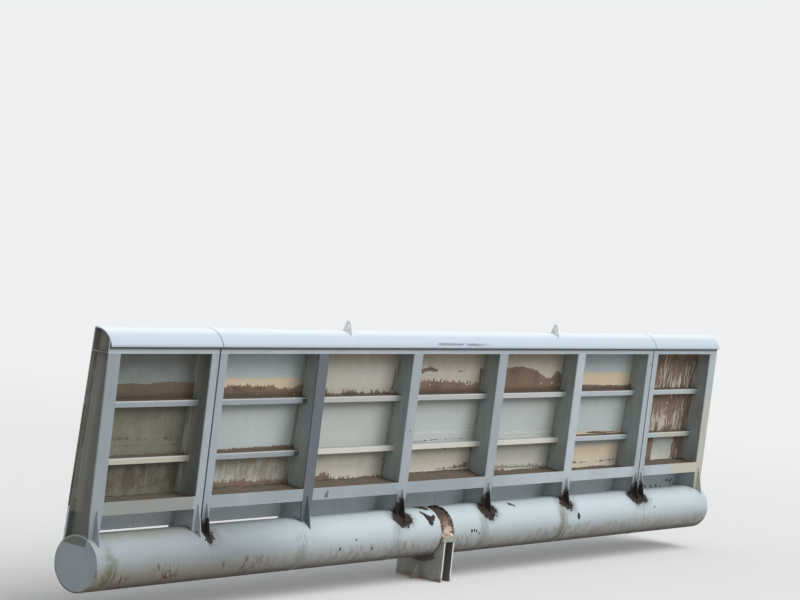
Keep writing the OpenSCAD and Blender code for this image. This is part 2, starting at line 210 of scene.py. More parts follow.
def coat(x0, x1, lift, edge_of, low, high, thick, seed):
    """Mud coat in front of the skin, between the heights low(x) and high(x): y = skin's face - lift -
    depth. The depth is a film's outside the mud and rises to thick times smooth noise inside it, where
    edge_of(x, z) is the distance from the mud's edge. Gives the surface and that distance."""
    x = np.linspace(x0 + 0.0004, x1 - 0.0004, max(3, int((x1 - x0) / 0.010)))
    x = np.concatenate([[x0], x, [x1]])[:, None]
    share = np.concatenate([[0], np.linspace(0.004, 0.996, COAT_FRONT - 2), [1]])[None, :]
    z = low(x) + (high(x) - low(x)) * share
    edge = edge_of(x, z)
    swell = (1 + 0.35 * waves(x, seed, 0.03, 0.5)
             + 0.3 * waves(x * 0.8 + z * 1.7, seed + 3, 0.02, 0.3))
    rise = np.clip(edge / COAT_SLOPE, 0, 1) * np.minimum(1, np.minimum(share, 1 - share) * 12)
    depth = FILM + thick * np.clip(swell, 0.35, 2) * rise
    front = grid(x, skin_y(z) - lift - depth, z)
    back = grid(x, skin_y(z) - lift - 0.0001, z)[:, [-1, 0]]
    surface = solid(from_leaf(np.concatenate([front, back], 1)))
    return surface, np.concatenate([edge, edge[:, [-1, 0]]], 1).ravel()


def cell_coats(row, bay, upper, lower, tooth, thick, seed):
    """Mud coat of one cell, in up to three strips: on the skin and on the ribs' inner flanges beside
    it. The outlines run through points given in thousandths of the bay's width and of the row's
    height, and waver by smooth noise; with no lower outline the mud stands on the shelf."""
    left, right = BAYS[bay]
    start, pitch = RIB_X[left], RIB_X[right] - RIB_X[left]
    low_z, high_z = ROWS[row]
    margin = 0.012 + 1.7 * tooth
    first, last = upper[0][0] / 1000, upper[-1][0] / 1000
    a, b = start + pitch * first, start + pitch * last
    free_a, free_b = first > 0.05, last < 0.94

    def line(x, outline):
        shares = np.asarray(outline) / 1000
        at_x = np.interp((x - start) / pitch, shares[:, 0], shares[:, 1])
        return low_z + (high_z - low_z) * at_x

    def edge_of(x, z):
        waver = waves(x, seed, 0.05, 0.6) * tooth * 0.5
        edge = line(x, upper) + waver - z
        if lower:
            edge = np.minimum(edge, z - line(x, lower) + waver * 0.4)
        if free_a:
            edge = np.minimum(edge, x - a)
        if free_b:
            edge = np.minimum(edge, b - x)
        return edge

    def top(x):
        return np.clip(line(x, upper) + margin, low_z + 0.004, high_z - 0.003)

    def foot(x):
        if not lower:
            return 0 * x + low_z + 0.0005
        return np.clip(line(x, lower) - margin, low_z + 0.0005, high_z - 0.01)

    from_a = a - margin if free_a else max(a, start + WEB_T / 2 + 0.001)
    to_b = b + margin if free_b else min(b, start + pitch - WEB_T / 2 - 0.001)
    skin_a, skin_b = start + INNER_HALF[left], start + pitch - INNER_HALF[right]
    strips = []
    for x0, x1, lift in ((from_a, skin_a, INNER_T + FILM), (skin_a, skin_b, 0.0),
                         (skin_b, to_b, INNER_T + FILM)):
        x0, x1 = max(from_a, x0) + 0.0005, min(to_b, x1) - 0.0005
        if x1 - x0 > 0.012:
            strips.append(coat(x0, x1, lift, edge_of, foot, top, thick, seed))
    return strips


def lump(centre, size, seed):
    """Small crumb of slag: a ball of 4 rings of 7 points, each point's radius drawn from 0.6 to 1.2."""
    draw = np.random.default_rng(seed)
    rise = np.array([-0.95, -0.45, 0.35, 0.92])[:, None]
    turns = np.linspace(0, 2 * math.pi, 7, endpoint=False)[None, :]
    reach = size * np.sqrt(1 - rise ** 2) * draw.uniform(0.6, 1.2, (4, 7))
    offset = grid(reach * np.cos(turns), reach * np.sin(turns), size * rise)
    return solid(from_leaf(np.asarray(centre) + offset))


def ledge(x0, x1, y0, y1, z, front_h, back_h, seed):
    """Silt on a shelf: its height runs from front_h at y0 to back_h at y1 as share ** 1.6, times
    smooth noise, and falls to 0.4 of it at both ends."""
    x = np.linspace(x0, x1, max(4, int((x1 - x0) / 0.014)))[:, None]
    share = np.linspace(0, 1, 9)[None, :]
    y = y0 + (y1 - y0) * share
    height = front_h + (back_h - front_h) * share ** 1.6
    height = height * (1 + 0.10 * waves(x + 1.3 * y, seed, 0.30, 1.1)
                       + 0.06 * waves(1.4 * y - x, seed + 2, 0.15, 0.6))
    ends = np.minimum(1, np.minimum(x - x0, x1 - x) / 0.02 + 0.4)
    top = grid(x, y, z + np.maximum(height * ends, 0.001))
    foot = grid(x, y, z - FILM)[:, [-1, 0]]
    return solid(from_leaf(np.concatenate([top, foot], 1)))


# Shader arithmetic

def maths(kind, swap=False):
    """Method of Value that adds a Math node of a kind; swap puts the other operand first."""
    def method(self, *others):
        operands = (*others, self) if swap else (self, *others)
        return self.graph.node("ShaderNodeMath", {"operation": kind}, dict(enumerate(operands)))
    return method


class Value:
    """A shader socket whose operators add the Math nodes that do them."""
    __add__, __radd__ = maths("ADD"), maths("ADD", swap=True)
    __sub__, __rsub__ = maths("SUBTRACT"), maths("SUBTRACT", swap=True)
    __mul__, __rmul__ = maths("MULTIPLY"), maths("MULTIPLY", swap=True)
    __truediv__, __rtruediv__ = maths("DIVIDE"), maths("DIVIDE", swap=True)
    __gt__, __lt__ = maths("GREATER_THAN"), maths("LESS_THAN")
    __abs__, root = maths("ABSOLUTE"), maths("SQRT")
    least, most, angle = maths("MINIMUM"), maths("MAXIMUM"), maths("ARCTAN2")

    def __init__(self, graph, socket):
        self.graph, self.socket = graph, socket

    def ramp(self, low, high):
        """0 below low and 1 above high, with a smooth rise between; or a fall if low is above high."""
        if low > high:
            return 1 - self.ramp(high, low)
        return self.graph.node("ShaderNodeMapRange", {"interpolation_type": "SMOOTHSTEP"},
                               {"Value": self, "From Min": low, "From Max": high})


def set_stops(ramp, interpolation, stops):
    """Puts stops on a colour ramp, which are (place, three numbers)."""
    ramp.interpolation = interpolation
    for place, colour in stops[1:-1]:
        ramp.elements.new(place).color = (*colour, 1)
    for element, (place, colour) in ((ramp.elements[0], stops[0]), (ramp.elements[-1], stops[-1])):
        element.position, element.color = place, (*colour, 1)


class Graph:
    """The nodes of one material or world."""

    def __init__(self, tree):
        self.tree = tree
        tree.nodes.clear()

    def node(self, kind, settings=None, sockets=None, output=0):
        """Adds a node, applies its settings, then sets or links its sockets. Gives one output."""
        made = self.tree.nodes.new(kind)
        for key, setting in (settings or {}).items():
            if key == "stops":
                set_stops(made.color_ramp, *setting)
            else:
                setattr(made, key, setting)
        for key, content in (sockets or {}).items():
            socket = made.inputs[key]
            if isinstance(content, Value):
                self.tree.links.new(content.socket, socket)
            else:
                socket.default_value = (*content, 1) if socket.type == "RGBA" else content
        return Value(self, made.outputs[output]) if made.outputs else None

    def mix(self, share, a, b):
        """Colour a at share 0 and colour b at share 1."""
        return self.node("ShaderNodeMix", {"data_type": "RGBA"}, {0: share, 6: a, 7: b}, output=2)

    def layers(self, colour, *coats):
        """Lays coats (share, colour) over a colour in turn, without those whose share is None."""
        for share, over in coats:
            if share is not None:
                colour = self.mix(share, colour, over)
        return colour

    def vector(self, x, y, z):
        return self.node("ShaderNodeCombineXYZ", None, {0: x, 1: y, 2: z})

    def parts(self, vector):
        return [self.node("ShaderNodeSeparateXYZ", None, {0: vector}, output=k) for k in range(3)]

    def noise(self, vector, scale, detail=3.0, roughness=0.55, distortion=0.0):
        """Noise from 0 to 1 that is 0.5 on average."""
        return self.node("ShaderNodeTexNoise", None, {
            "Vector": vector, "Scale": scale, "Detail": detail, "Roughness": roughness,
            "Distortion": distortion})

    def table(self, x, rows, blend=False):
        """Steps along x, or with blend a slope from each row to the next: rows are (x where the step
        starts, three shares). Gives the three shares there."""
        span = RIGHT_X - LEFT_X + 2 * MARGIN
        stops = [((start - LEFT_X + MARGIN) / span, shares) for start, shares in rows]
        colour = self.node("ShaderNodeValToRGB", {"stops": ("LINEAR" if blend else "CONSTANT", stops)},
                           {0: (x - (LEFT_X - MARGIN)) / span})
        return [self.node("ShaderNodeSeparateColor", None, {0: colour}, output=k) for k in range(3)]

    def spots(self, a, b, ragged, places):
        """Ragged spots: 1 inside and 0 outside, for places (a, b, radius) on the plane of a and b."""
        share = None
        for p, q, size in places:
            away = ((a - p) * (a - p) + (b - q) * (b - q)).root() + ragged * size * 3.2
            spot = away.ramp(size, size * 0.7)
            share = spot if share is None else share.most(spot)
        return share


class Place:
    """A surface point in the leaf's frame, from its Object coordinates, and which way it faces."""

    def __init__(self, graph):
        self.graph = graph
        self.x, y, z = graph.parts(graph.node("ShaderNodeTexCoord", output=3))
        c, s = math.cos(LEAN), math.sin(LEAN)
        self.y = y * c + (z - AXIS_Z) * s
        self.z = (z - AXIS_Z) * c - y * s
        self.ny, self.nz = graph.parts(graph.node("ShaderNodeTexCoord", output=1))[1:]
        self.first_bay = self.x < JOINT_X[0]

    def noise(self, scale, detail=3.0, roughness=0.55, distortion=0.0, stretch=(1, 1, 1)):
        """Noise on the leaf's coordinates, each multiplied by its stretch first."""
        a, b, c = stretch
        return self.graph.noise(self.graph.vector(self.x * a, self.y * b, self.z * c), scale, detail,
                                roughness, distortion)


def finished(name, look, **options):
    """A material whose look gives its colour, roughness, height and the depth of its relief."""
    material = bpy.data.materials.new(name)
    material.use_nodes = True
    graph = Graph(material.node_tree)
    colour, roughness, height, relief = look(graph, Place(graph), bpy.context.scene.gate_colours,
                                             **options)
    bump = graph.node("ShaderNodeBump", None, {"Strength": 0.6, "Distance": relief, "Height": height})
    shader = graph.node("ShaderNodeBsdfPrincipled", None, {
        "Base Color": colour, "Roughness": roughness, "Normal": bump, "Specular IOR Level": 0.35})
    graph.node("ShaderNodeOutputMaterial", None, {"Surface": shader})
    return material


def dress(nodes, material):
    """Puts a material on CAD nodes, on their own material slots."""
    for name in nodes:
        thing = frame["nodes"][name]
        if thing.material_slots:
            for slot in thing.material_slots:
                slot.material = material
        else:
            thing.data.materials.append(material)


# Settings

def colour_setting(name, description, default):
    """A colour that a user can change."""
    return bpy.props.FloatVectorProperty(name=name, description=description, default=default,
                                         subtype="COLOR", min=0, max=1)


def length_setting(name, description, default):
    """A length in metres that a user can change."""
    return bpy.props.FloatProperty(name=name, description=description, default=default, unit="LENGTH")


class GateColours(bpy.types.PropertyGroup):
    """Colours of the gate's paints and stains."""
    frame: colour_setting("Frame paint", "Paint of ribs, beams and stringers", (0.495, 0.56, 0.60))
    frame_warm: colour_setting("Yellowed paint", "Older, yellowed frame paint", (0.56, 0.53, 0.43))
    web: colour_setting("Web paint", "Dull paint on the webs inside the cells", (0.345, 0.39, 0.40))
    crest: colour_setting("Crest paint", "Clean paint of the crest", (0.47, 0.54, 0.61))
    tube: colour_setting("Tube paint", "Paint of the torque tube", (0.465, 0.54, 0.58))
    skin: colour_setting("Skin paint", "Pale paint of the skin in clean cells", (0.52, 0.595, 0.60))
    cream: colour_setting("Cream silt", "Thin dried silt on the skin", (0.68, 0.59, 0.46))
    peach: colour_setting("Peach silt", "Warm band above a mud line", (0.82, 0.63, 0.42))
    mud: colour_setting("Mud", "Dried mud", (0.235, 0.168, 0.118))
    dark_mud: colour_setting("Dark mud", "Damp mud and rusty silt", (0.110, 0.074, 0.052))
    soot: colour_setting("Soot", "Burnt paint and weld smoke", (0.022, 0.018, 0.016))
    pedestal: colour_setting("Pedestal paint", "Grey paint of the pedestal", (0.36, 0.37, 0.33))


class GateSizes(bpy.types.PropertyGroup):
    """Sizes of welds and mud."""
    weld: length_setting("Fillet leg", "Leg of the fillet welds on the leaf", 0.009)
    ring_width: length_setting("Ring width", "Width of the girth welds on the tube", 0.026)
    ring_height: length_setting("Ring height", "Height of the girth welds on the tube", 0.005)
    coat: length_setting("Mud coat", "Thickness of the mud dried on the skin", 0.004)
    heap: length_setting("Silt heap", "Height of the silt at the back of the lower beam", 0.080)
    pad_heap: length_setting("Pad heap", "Height of the mud on the seat pads", 0.045)


class GateStage(bpy.types.PropertyGroup):
    """Floor, lamps and camera."""
    floor: colour_setting("Floor", "Colour of the floor", (0.68, 0.675, 0.67))
    backdrop: colour_setting("Backdrop", "Colour behind the gate", (0.86, 0.87, 0.88))
    sky: bpy.props.FloatProperty(name="Sky", description="Strength of the even light from all round",
                                 default=0.45)
    key: bpy.props.FloatProperty(name="Key", description="Strength of the soft light from above",
                                 default=2.6)
    lens: bpy.props.FloatProperty(name="Lens", description="Focal length in millimetres",
                                  default=113.78, subtype="DISTANCE_CAMERA")


# Looks: each gives colour, roughness, height and the depth of the relief in metres

# The cells in percent, from the lowest row up and from the left: how cream the skin is, how high its
# peach band reaches, how strong its rust streaks are, how greenish it is, the height of its pale line
# and how tan its upper part is
CELL_LOOKS = (
    ((45, 0, 95, 90, 0, 20), (30, 0, 50, 50, 0, 40), (75, 0, 12, 15, 0, 10), (80, 0, 8, 10, 27, 10),
     (50, 0, 8, 15, 27, 15), (20, 85, 8, 0, 0, 0), (20, 0, 15, 10, 0, 10)),
    ((40, 0, 20, 85, 0, 10), (5, 0, 5, 10, 0, 5), (25, 0, 4, 10, 0, 20), (15, 0, 3, 5, 23, 25),
     (15, 6, 3, 10, 13, 15), (5, 13, 5, 5, 0, 5), (45, 0, 20, 20, 0, 20)),
    ((10, 0, 12, 15, 0, 10), (0, 47, 4, 0, 0, 0), (70, 0, 8, 0, 0, 90), (90, 0, 10, 0, 50, 75),
     (95, 0, 8, 0, 0, 90), (3, 52, 5, 0, 0, 0), (75, 0, 40, 0, 0, 60)),
)
# Burnt spots on the skin under the lower beam, and dark spots on the beam and a rib: x, height, radius
SKIN_SPOTS = ((5.62, 0.285, 0.030), (5.78, 0.282, 0.028), (5.93, 0.278, 0.030), (6.05, 0.272, 0.022),
              (6.20, 0.360, 0.026), (6.30, 0.340, 0.024), (6.36, 0.365, 0.018))
FRAME_SPOTS = ((-2.365, 0.580, 0.034), (-2.345, 0.618, 0.026), (4.747, 2.125, 0.016),
               (4.783, 1.421, 0.016), (-0.834, 1.316, 0.012))
# Places where the mud has flaked off the upper cells, down to the pale skin: x, height, radius
FLAKES = ((0.64, 1.838, 0.014), (0.69, 1.846, 0.016), (0.75, 1.850, 0.016), (0.80, 1.865, 0.014),
          (0.86, 1.872, 0.012), (-0.16, 1.842, 0.013), (2.39, 1.836, 0.017), (2.64, 1.842, 0.014),
          (2.68, 1.850, 0.012))
# How burnt the foot of each rib is and how much darker its front flange is, from the left
FOOT_BURN = (0.10, 0.12, 0.75, 0.10, 1.00, 1.00, 0.80, 0.95, 0.90, 0.12)
RIB_DARKENING = (0.48, 0.30, 0.34, 0.92, 0.28, 0.33, 0.0, 0.20, 0.14, 0.10)
# Along the tube: x, and in percent how filmed its paint is, how many rusty marks its lower half has
# and how dim the paint is
TUBE_LOOKS = (
    (LEFT_X - MARGIN, 55, 40, 22), (-6.30, 75, 100, 26), (-5.95, 90, 100, 27), (-5.70, 85, 40, 28),
    (-5.45, 100, 100, 30), (-5.20, 85, 100, 31), (-4.75, 75, 80, 34), (-4.45, 60, 100, 38),
    (-4.10, 50, 80, 38), (-3.50, 38, 30, 28), (-2.90, 25, 20, 12), (-2.10, 16, 30, 2),
    (-0.20, 15, 40, 0), (0.20, 26, 40, 0), (0.80, 22, 30, 0), (1.10, 8, 10, 3), (1.90, 12, 25, 2),
    (2.60, 30, 40, 0), (2.95, 12, 35, 0), (3.60, 25, 25, 0), (JOINT_X[1], 35, 20, 0))
# Girth welds of the tube and how stained the paint beside each one is
GIRTH_X = (RIB_X[0] + 0.17, JOINT_X[0], *(RIB_X[k] - 0.18 for k in (3, 4, 5, 6)), JOINT_X[1])
GIRTH_STAIN = (0.8, 0.0, 0.4, 0.3, 0.45, 0.75, 0.0)
# Dark blots on the tube: place along it, angle up from the front in degrees, and radius
BLOTS = ((-0.400, 62, 0.030), (-0.372, 54, 0.042), (-0.350, 46, 0.058), (-0.325, 39, 0.072),
         (-0.250, 43, 0.040), (-0.205, 48, 0.028), (-0.310, 90, 0.060), (-0.240, 88, 0.090),
         (-0.175, 83, 0.080), (1.590, 67, 0.028), (1.630, 65, 0.030), (1.665, 60, 0.024),
         (3.084, 15, 0.043), (0.534, 4, 0.024), (0.590, 5, 0.020), (0.640, 3, 0.018),
         (0.700, -3, 0.016), (5.10, 20, 0.016), (-1.90, 10, 0.016), (-2.20, -8, 0.022),
         (-1.55, -14, 0.020))
# The tables hold shares below 1, so lengths go in as shares of these: along the gate, and of a bay
GATE_REACH = 14
BAY_REACH = 3
# Half width of a rib's front flange with its edges, and a level just under the seat pads
RIB_HALF = 0.0935
UNDER_PADS = -0.0905
# Place of a gusset's toe: left of the middle of its rib, and in front of and above the tube's axis
TOE_LEFT, TOE_FRONT, TOE_UP = 0.025, 0.205, 0.245


def percent(numbers):
    """Shares from numbers in percent."""
    return [number / 100 for number in numbers]


def skin_face(at):
    """Place of the skin's front face across the leaf, as a value of the height."""
    return at.z * ((DEPTH_TOP - DEPTH_AXIS) / TOP_BEAM_Z) + (FRONT_Y + DEPTH_AXIS)


def strip_colour(graph, at):
    """Dusty paint on the ribs' inner flanges, beside the skin."""
    return graph.mix(at.noise(7, 4, stretch=(1, 1, 0.5)).ramp(0.40, 0.62), (0.34, 0.35, 0.295),
                     (0.235, 0.235, 0.185))


def skin_look(graph, at, colours):
    """Skin: cells stained row by row in front, with painted shade at each row's top and each cell's
    right and painted light under the lower beam, and a plain face with tide marks behind.
    """
    broad = at.noise(1.3, 4)
    blotch = at.noise(5.5, 5, 0.62)
    fine = at.noise(38, 4, 0.65)
    runs = at.noise(9, 5, 0.65, stretch=(1.8, 1, 0.22))
    wobble = blotch - 0.5
    left, width = graph.table(at.x, [
        (start, ((RIB_X[a] - LEFT_X) / GATE_REACH, (RIB_X[b] - RIB_X[a]) / BAY_REACH, 0.0))
        for start, (a, b) in zip(BAY_STARTS, BAYS)])[:2]
    across = (at.x - LEFT_X - left * GATE_REACH) / (width * BAY_REACH)
    paint = graph.mix(broad.ramp(0.35, 0.7) * 0.5, colours.skin, (0.46, 0.54, 0.535))
    rows = []
    for (low, high), cells in zip(ROWS, CELL_LOOKS):
        cream, band, rust, green, line, tan = (
            share for half in (slice(0, 3), slice(3, 6)) for share in graph.table(
                at.x, [(x, percent(cell[half])) for x, cell in zip(BAY_STARTS, cells)]))
        share = (at.z - low) / (high - low)
        bleached = share.ramp(0.60, 0.20) * (blotch * 0.7 + 0.25) * (at.x > JOINT_X[0])
        pale_line = abs(share - line + wobble * 0.22).ramp(0.040, 0.010) * (line > 0.01)
        streak = (runs * 0.45 + blotch * 0.65).ramp(0.44, 0.64) * rust
        streak = streak * (0.2 + share.ramp(0.15, 0.38) * share.ramp(1.02, 0.80) * 0.8)
        rows.append(graph.layers(
            paint,
            ((cream * (0.45 + blotch * 0.9)).least(1.0), colours.cream),
            ((green * (0.40 + blotch)).least(0.95), (0.27, 0.26, 0.165)),
            ((share + wobble * 0.3).ramp(0.55, 0.95) * tan * 0.8, (0.455, 0.35, 0.24)),
            ((share + wobble * 0.2).ramp(0.35, 0.0) * cream * 0.45, (0.42, 0.35, 0.25)),
            ((band - share + wobble * 0.16).ramp(0.0, 0.12) * 0.85, colours.peach),
            # Only the lowest row is bleached
            (None if rows else bleached, (0.80, 0.76, 0.66)),
            (pale_line * fine.ramp(0.44, 0.58) * 0.8, (0.74, 0.74, 0.69)),
            (streak.least(0.9), (0.185, 0.125, 0.075)),
            # Painted shade: each row darkens towards its top, under the stringer or beam above it
            (share.ramp(0.78, 1.0) * 0.28, (0.14, 0.15, 0.15))))
    # Painted light: the skin under the lower beam is painted much paler, for light thrown up from below,
    # with a few stains
    under = graph.mix(runs.ramp(0.5, 0.7) * 0.20, (0.80, 0.87, 0.91), (0.46, 0.45, 0.39))
    specks = at.noise(55, 2, 0.5).ramp(0.68, 0.74)
    burnt = graph.spots(at.x, at.z, fine - 0.5, SKIN_SPOTS)
    on_strip = (at.y < skin_face(at) - 0.007) * (at.z > LOWER_BEAM_Z)
    tide = (at.z + wobble * 0.10).ramp(1.25, 0.35) * (0.4 + runs * 0.8)
    back = graph.layers(colours.tube, (tide.least(1.0) * 0.6, (0.42, 0.38, 0.29)),
                        (runs.ramp(0.54, 0.72) * 0.35, (0.34, 0.31, 0.25)))
    colour = graph.layers(
        rows[0],
        *((at.z > low - 0.04, row) for (low, high), row in zip(ROWS[1:], rows[1:])),
        # Painted shade: the right part of each cell darkens towards the rib's web
        (across.ramp(0.76, 0.97) * 0.30, (0.15, 0.16, 0.145)),
        (at.first_bay * 0.50, (0.040, 0.036, 0.024)),
        (at.z < LOWER_BEAM_Z + 0.06, under),
        (specks * 0.5, (0.20, 0.16, 0.11)),
        (fine.ramp(0.3, 0.8) * 0.16, (0.28, 0.29, 0.26)),
        (burnt * 0.9, colours.soot),
        (on_strip, strip_colour(graph, at)),
        (at.ny > 0.5, back))
    return colour, 0.62 + fine * 0.15, fine * 0.7 + blotch * 0.3, 0.0012


def frame_look(graph, at, colours):
    """Ribs, beams and stringers: weathered paint in front, darker webs, painted light on the webs under
    the lower beam, a painted shadow under the crest's lip, silt on upward faces and burnt feet."""
    broad = at.noise(1.7, 4)
    fine = at.noise(42, 4, 0.65)
    runs = at.noise(14, 4, 0.6, stretch=(1.6, 1.6, 0.14))
    foot = Feet(graph, at)
    face = skin_face(at)
    warm = (at.x - 5.25 + (broad - 0.5) * 1.6).ramp(0.0, 0.5) * at.z.ramp(1.9, 1.3)
    patch = at.noise(2.6, 3, stretch=(1, 1, 0.6)).ramp(0.58, 0.70) * 0.30
    on_rib = abs(foot.dx) < RIB_HALF
    beam_tone = at.x.ramp(2.6, 0.2) * 0.32 + 0.03
    tone = (foot.tone * on_rib + beam_tone * (1 - on_rib)) * (at.z < TOP_BEAM_Z)
    low_beam = (at.z > LOWER_BEAM_Z - 0.001) * (at.z < LOWER_BEAM_Z + LOWER_BEAM_H + 0.001)
    # Painted shadow on the top beam's face under the crest's lip
    lip_shadow = (at.z > TOP_BEAM_Z + 0.045) * (at.y < FRONT_Y + 0.002)
    inside = (at.y > FRONT_Y + FLANGE_T + 0.002) * (at.z > 0.2)
    near_skin = (face - at.y).ramp(0.15, 0.02) * (at.z > LOWER_BEAM_Z)
    past_end = LEFT_X + 0.15
    web = graph.layers(
        colours.web,
        (runs.ramp(0.45, 0.75) * 0.45, (0.22, 0.215, 0.18)),
        (at.noise(3, 4).ramp(0.45, 0.7) * 0.5, (0.27, 0.30, 0.27)),
        (at.first_bay * 0.66 + (at.x < past_end) * 0.14, (0.10, 0.095, 0.07)),
        # Painted light: the webs under the lower beam are painted pale, for light thrown up from below
        ((at.z < LOWER_BEAM_Z) * (at.x > past_end) * 0.75, (0.62, 0.68, 0.70)),
        (near_skin * 0.55, (0.36, 0.355, 0.29)))
    on_stringer = abs(at.y - face + STRINGER_D).ramp(0.006, 0.004) * (at.ny < -0.5)
    creamy = (at.x - RIB_X[3]).ramp(0.0, 0.1) * (at.x - RIB_X[6]).ramp(0.1, 0.0)
    creamy = creamy * (at.z.ramp(1.5, 1.2) * 0.55 + 0.42) * (0.6 + broad * 0.8)
    yellowed = on_stringer * at.first_bay * (at.z < ROWS[1][0] + 0.01)
    edge = abs(at.z - ROWS[1][0]).least(abs(at.z - ROWS[2][0])).ramp(0.018, 0.009)
    inner = (at.y > face - INNER_T - 0.004) * (at.ny < -0.5) * (at.z > LOWER_BEAM_Z)
    silt = at.nz.ramp(0.55, 0.8) * (at.y > FRONT_Y + 0.012) * (fine * 0.6 + 0.55)
    silt = silt * (1 - creamy.least(1.0) * (at.z > 1.0) * (at.z < 1.4))
    spots = graph.spots(at.x, at.z, fine - 0.5, FRAME_SPOTS) * (at.y < FRONT_Y + 0.004)
    chips = at.noise(75, 2, 0.5).ramp(0.715, 0.745) * 0.7
    colour = graph.layers(
        colours.frame,
        (broad.ramp(0.3, 0.75) * 0.45, (0.38, 0.43, 0.435)),
        (warm.most(patch).least(1.0) * 0.85, colours.frame_warm),
        (runs.ramp(0.5, 0.75) * 0.25, (0.30, 0.29, 0.25)),
        (tone, (0.10, 0.115, 0.135)),
        (low_beam * at.first_bay * (1 - on_rib) * 0.55, (0.25, 0.235, 0.175)),
        (lip_shadow * 0.75, (0.11, 0.12, 0.13)),
        (inside * (1 - on_stringer), web),
        ((on_stringer * creamy).least(1.0), (0.74, 0.70, 0.62)),
        (yellowed * 0.7, (0.62, 0.58, 0.42)),
        (on_stringer * edge * 0.7, (0.72, 0.74, 0.73)),
        (inner * 0.9, strip_colour(graph, at)),
        (silt.least(1.0), colours.mud),
        (spots * 0.8, (0.09, 0.055, 0.05)))
    colour = graph.mix(chips, foot.burn_in(colour, colours), (0.20, 0.11, 0.07))
    return colour, (0.50 + fine * 0.2).most(foot.matt), fine * 0.6 + broad * 0.4, 0.0012


class Feet:
    """The nearest rib of a surface point: how burnt its foot is, how much darker its front is and how
    far off its middle the point lies. After burn_in, matt is the least roughness there."""

    def __init__(self, graph, at):
        edges = [LEFT_X - MARGIN] + [(a + b) / 2 for a, b in zip(RIB_X, RIB_X[1:])]
        self.graph, self.at = graph, at
        self.burn, centre, self.tone = graph.table(at.x, [
            (edge, (burnt, (x - LEFT_X) / GATE_REACH, dull))
            for edge, burnt, dull, x in zip(edges, FOOT_BURN, RIB_DARKENING, RIB_X)])
        self.dx = at.x - (centre * GATE_REACH + LEFT_X)

    def burn_in(self, colour, colours):
        """Brown smoke, soot with a ragged edge and spatter, thinning with the distance from the toe."""
        graph, at = self.graph, self.at
        off_x, off_y, off_z = self.dx + TOE_LEFT, at.y + TOE_FRONT, at.z - TOE_UP
        above, below = off_z.most(0.0), off_z.least(0.0)
        away = (off_x * off_x * 0.42 + off_y * off_y * 0.6 + above * above * 0.22
                + below * below * 0.9).root()
        hairs = at.noise(21, 5, 0.72, 1.2) - 0.5
        broad = at.noise(6, 3) - 0.5
        smoke = (away + broad * 0.14).ramp(0.21, 0.06) * self.burn
        small = (1 - self.burn) * 0.12
        soot = (away + small + hairs * 0.17 + broad * 0.12).ramp(0.124, 0.110)
        soot = soot * self.burn.ramp(0.05, 0.6)
        spatter = at.noise(30, 3, 0.6).ramp(0.66, 0.69) * away.ramp(0.20, 0.10) * self.burn
        crust = graph.mix(at.noise(34, 3, 0.7).ramp(0.50, 0.64), colours.soot, (0.042, 0.025, 0.018))
        soot = soot.most(spatter * 0.8)
        self.matt = soot.most(smoke * 0.8) * 0.95
        return graph.layers(colour, (smoke * 0.62, (0.062, 0.043, 0.036)), (soot, crust))


def crest_look(graph, at, colours):
    """Crest: clean pale paint with faint clouds, a painted highlight on top, painted shade low on the
    lip and on downward faces, dark section joints and a grey smear.
    """
    broad = at.noise(1.1, 3)
    fine = at.noise(30, 4, 0.6)
    runs = at.noise(10, 4, 0.6, stretch=(1.4, 0.4, 0.2))
    streaks = at.noise(16, 4, 0.7, stretch=(0.25, 1, 2.0))
    band = (at.x + 0.55).ramp(0.0, 0.15) * (at.x - 0.75).ramp(0.0, -0.4)
    smear = band * abs(at.z - 2.397 + (broad - 0.5) * 0.03).ramp(0.022, 0.008)
    smear = smear * streaks.ramp(0.34, 0.44)
    stray = at.noise(6, 4, 0.7, stretch=(0.5, 1, 2.2)).ramp(0.68, 0.76) * 0.25
    colour = graph.layers(
        colours.crest,
        (broad.ramp(0.3, 0.7) * 0.5, (0.45, 0.53, 0.60)),
        (runs.ramp(0.56, 0.76) * 0.16, (0.36, 0.40, 0.44)),
        ((smear * 0.85).most(stray), (0.20, 0.165, 0.23)),
        # Painted highlight: upward faces are lighter, as if they caught the sky
        (at.nz.ramp(0.70, 0.98) * 0.75, (0.76, 0.81, 0.82)),
        # Painted shade: the lowest part of the lip is darker
        (at.z.ramp(2.376, 2.366) * 0.55, (0.30, 0.33, 0.36)),
        *((abs(at.x - x).ramp(0.016, 0.009) * 0.6, (0.16, 0.18, 0.20)) for x in JOINT_X),
        # Painted shade: downward faces are darker
        (at.nz.ramp(-0.35, -0.7) * 0.6, (0.34, 0.36, 0.36)))
    return colour, 0.40 + fine * 0.15, fine * 0.5 + broad * 0.5, 0.0010


def lug_look(graph, at, colours):
    """Lugs: whitish primer, rubbed dull in places, with faint rust specks."""
    fine = at.noise(40, 4, 0.65)
    rubbed = at.noise(18, 4, 0.6)
    colour = graph.layers(
        (0.80, 0.83, 0.84),
        (rubbed.ramp(0.40, 0.62) * 0.6, (0.55, 0.58, 0.60)),
        (fine.ramp(0.62, 0.70) * 0.5, (0.33, 0.24, 0.18)))
    return colour, 0.45 + fine * 0.2, fine * 0.7 + rubbed * 0.3, 0.0012


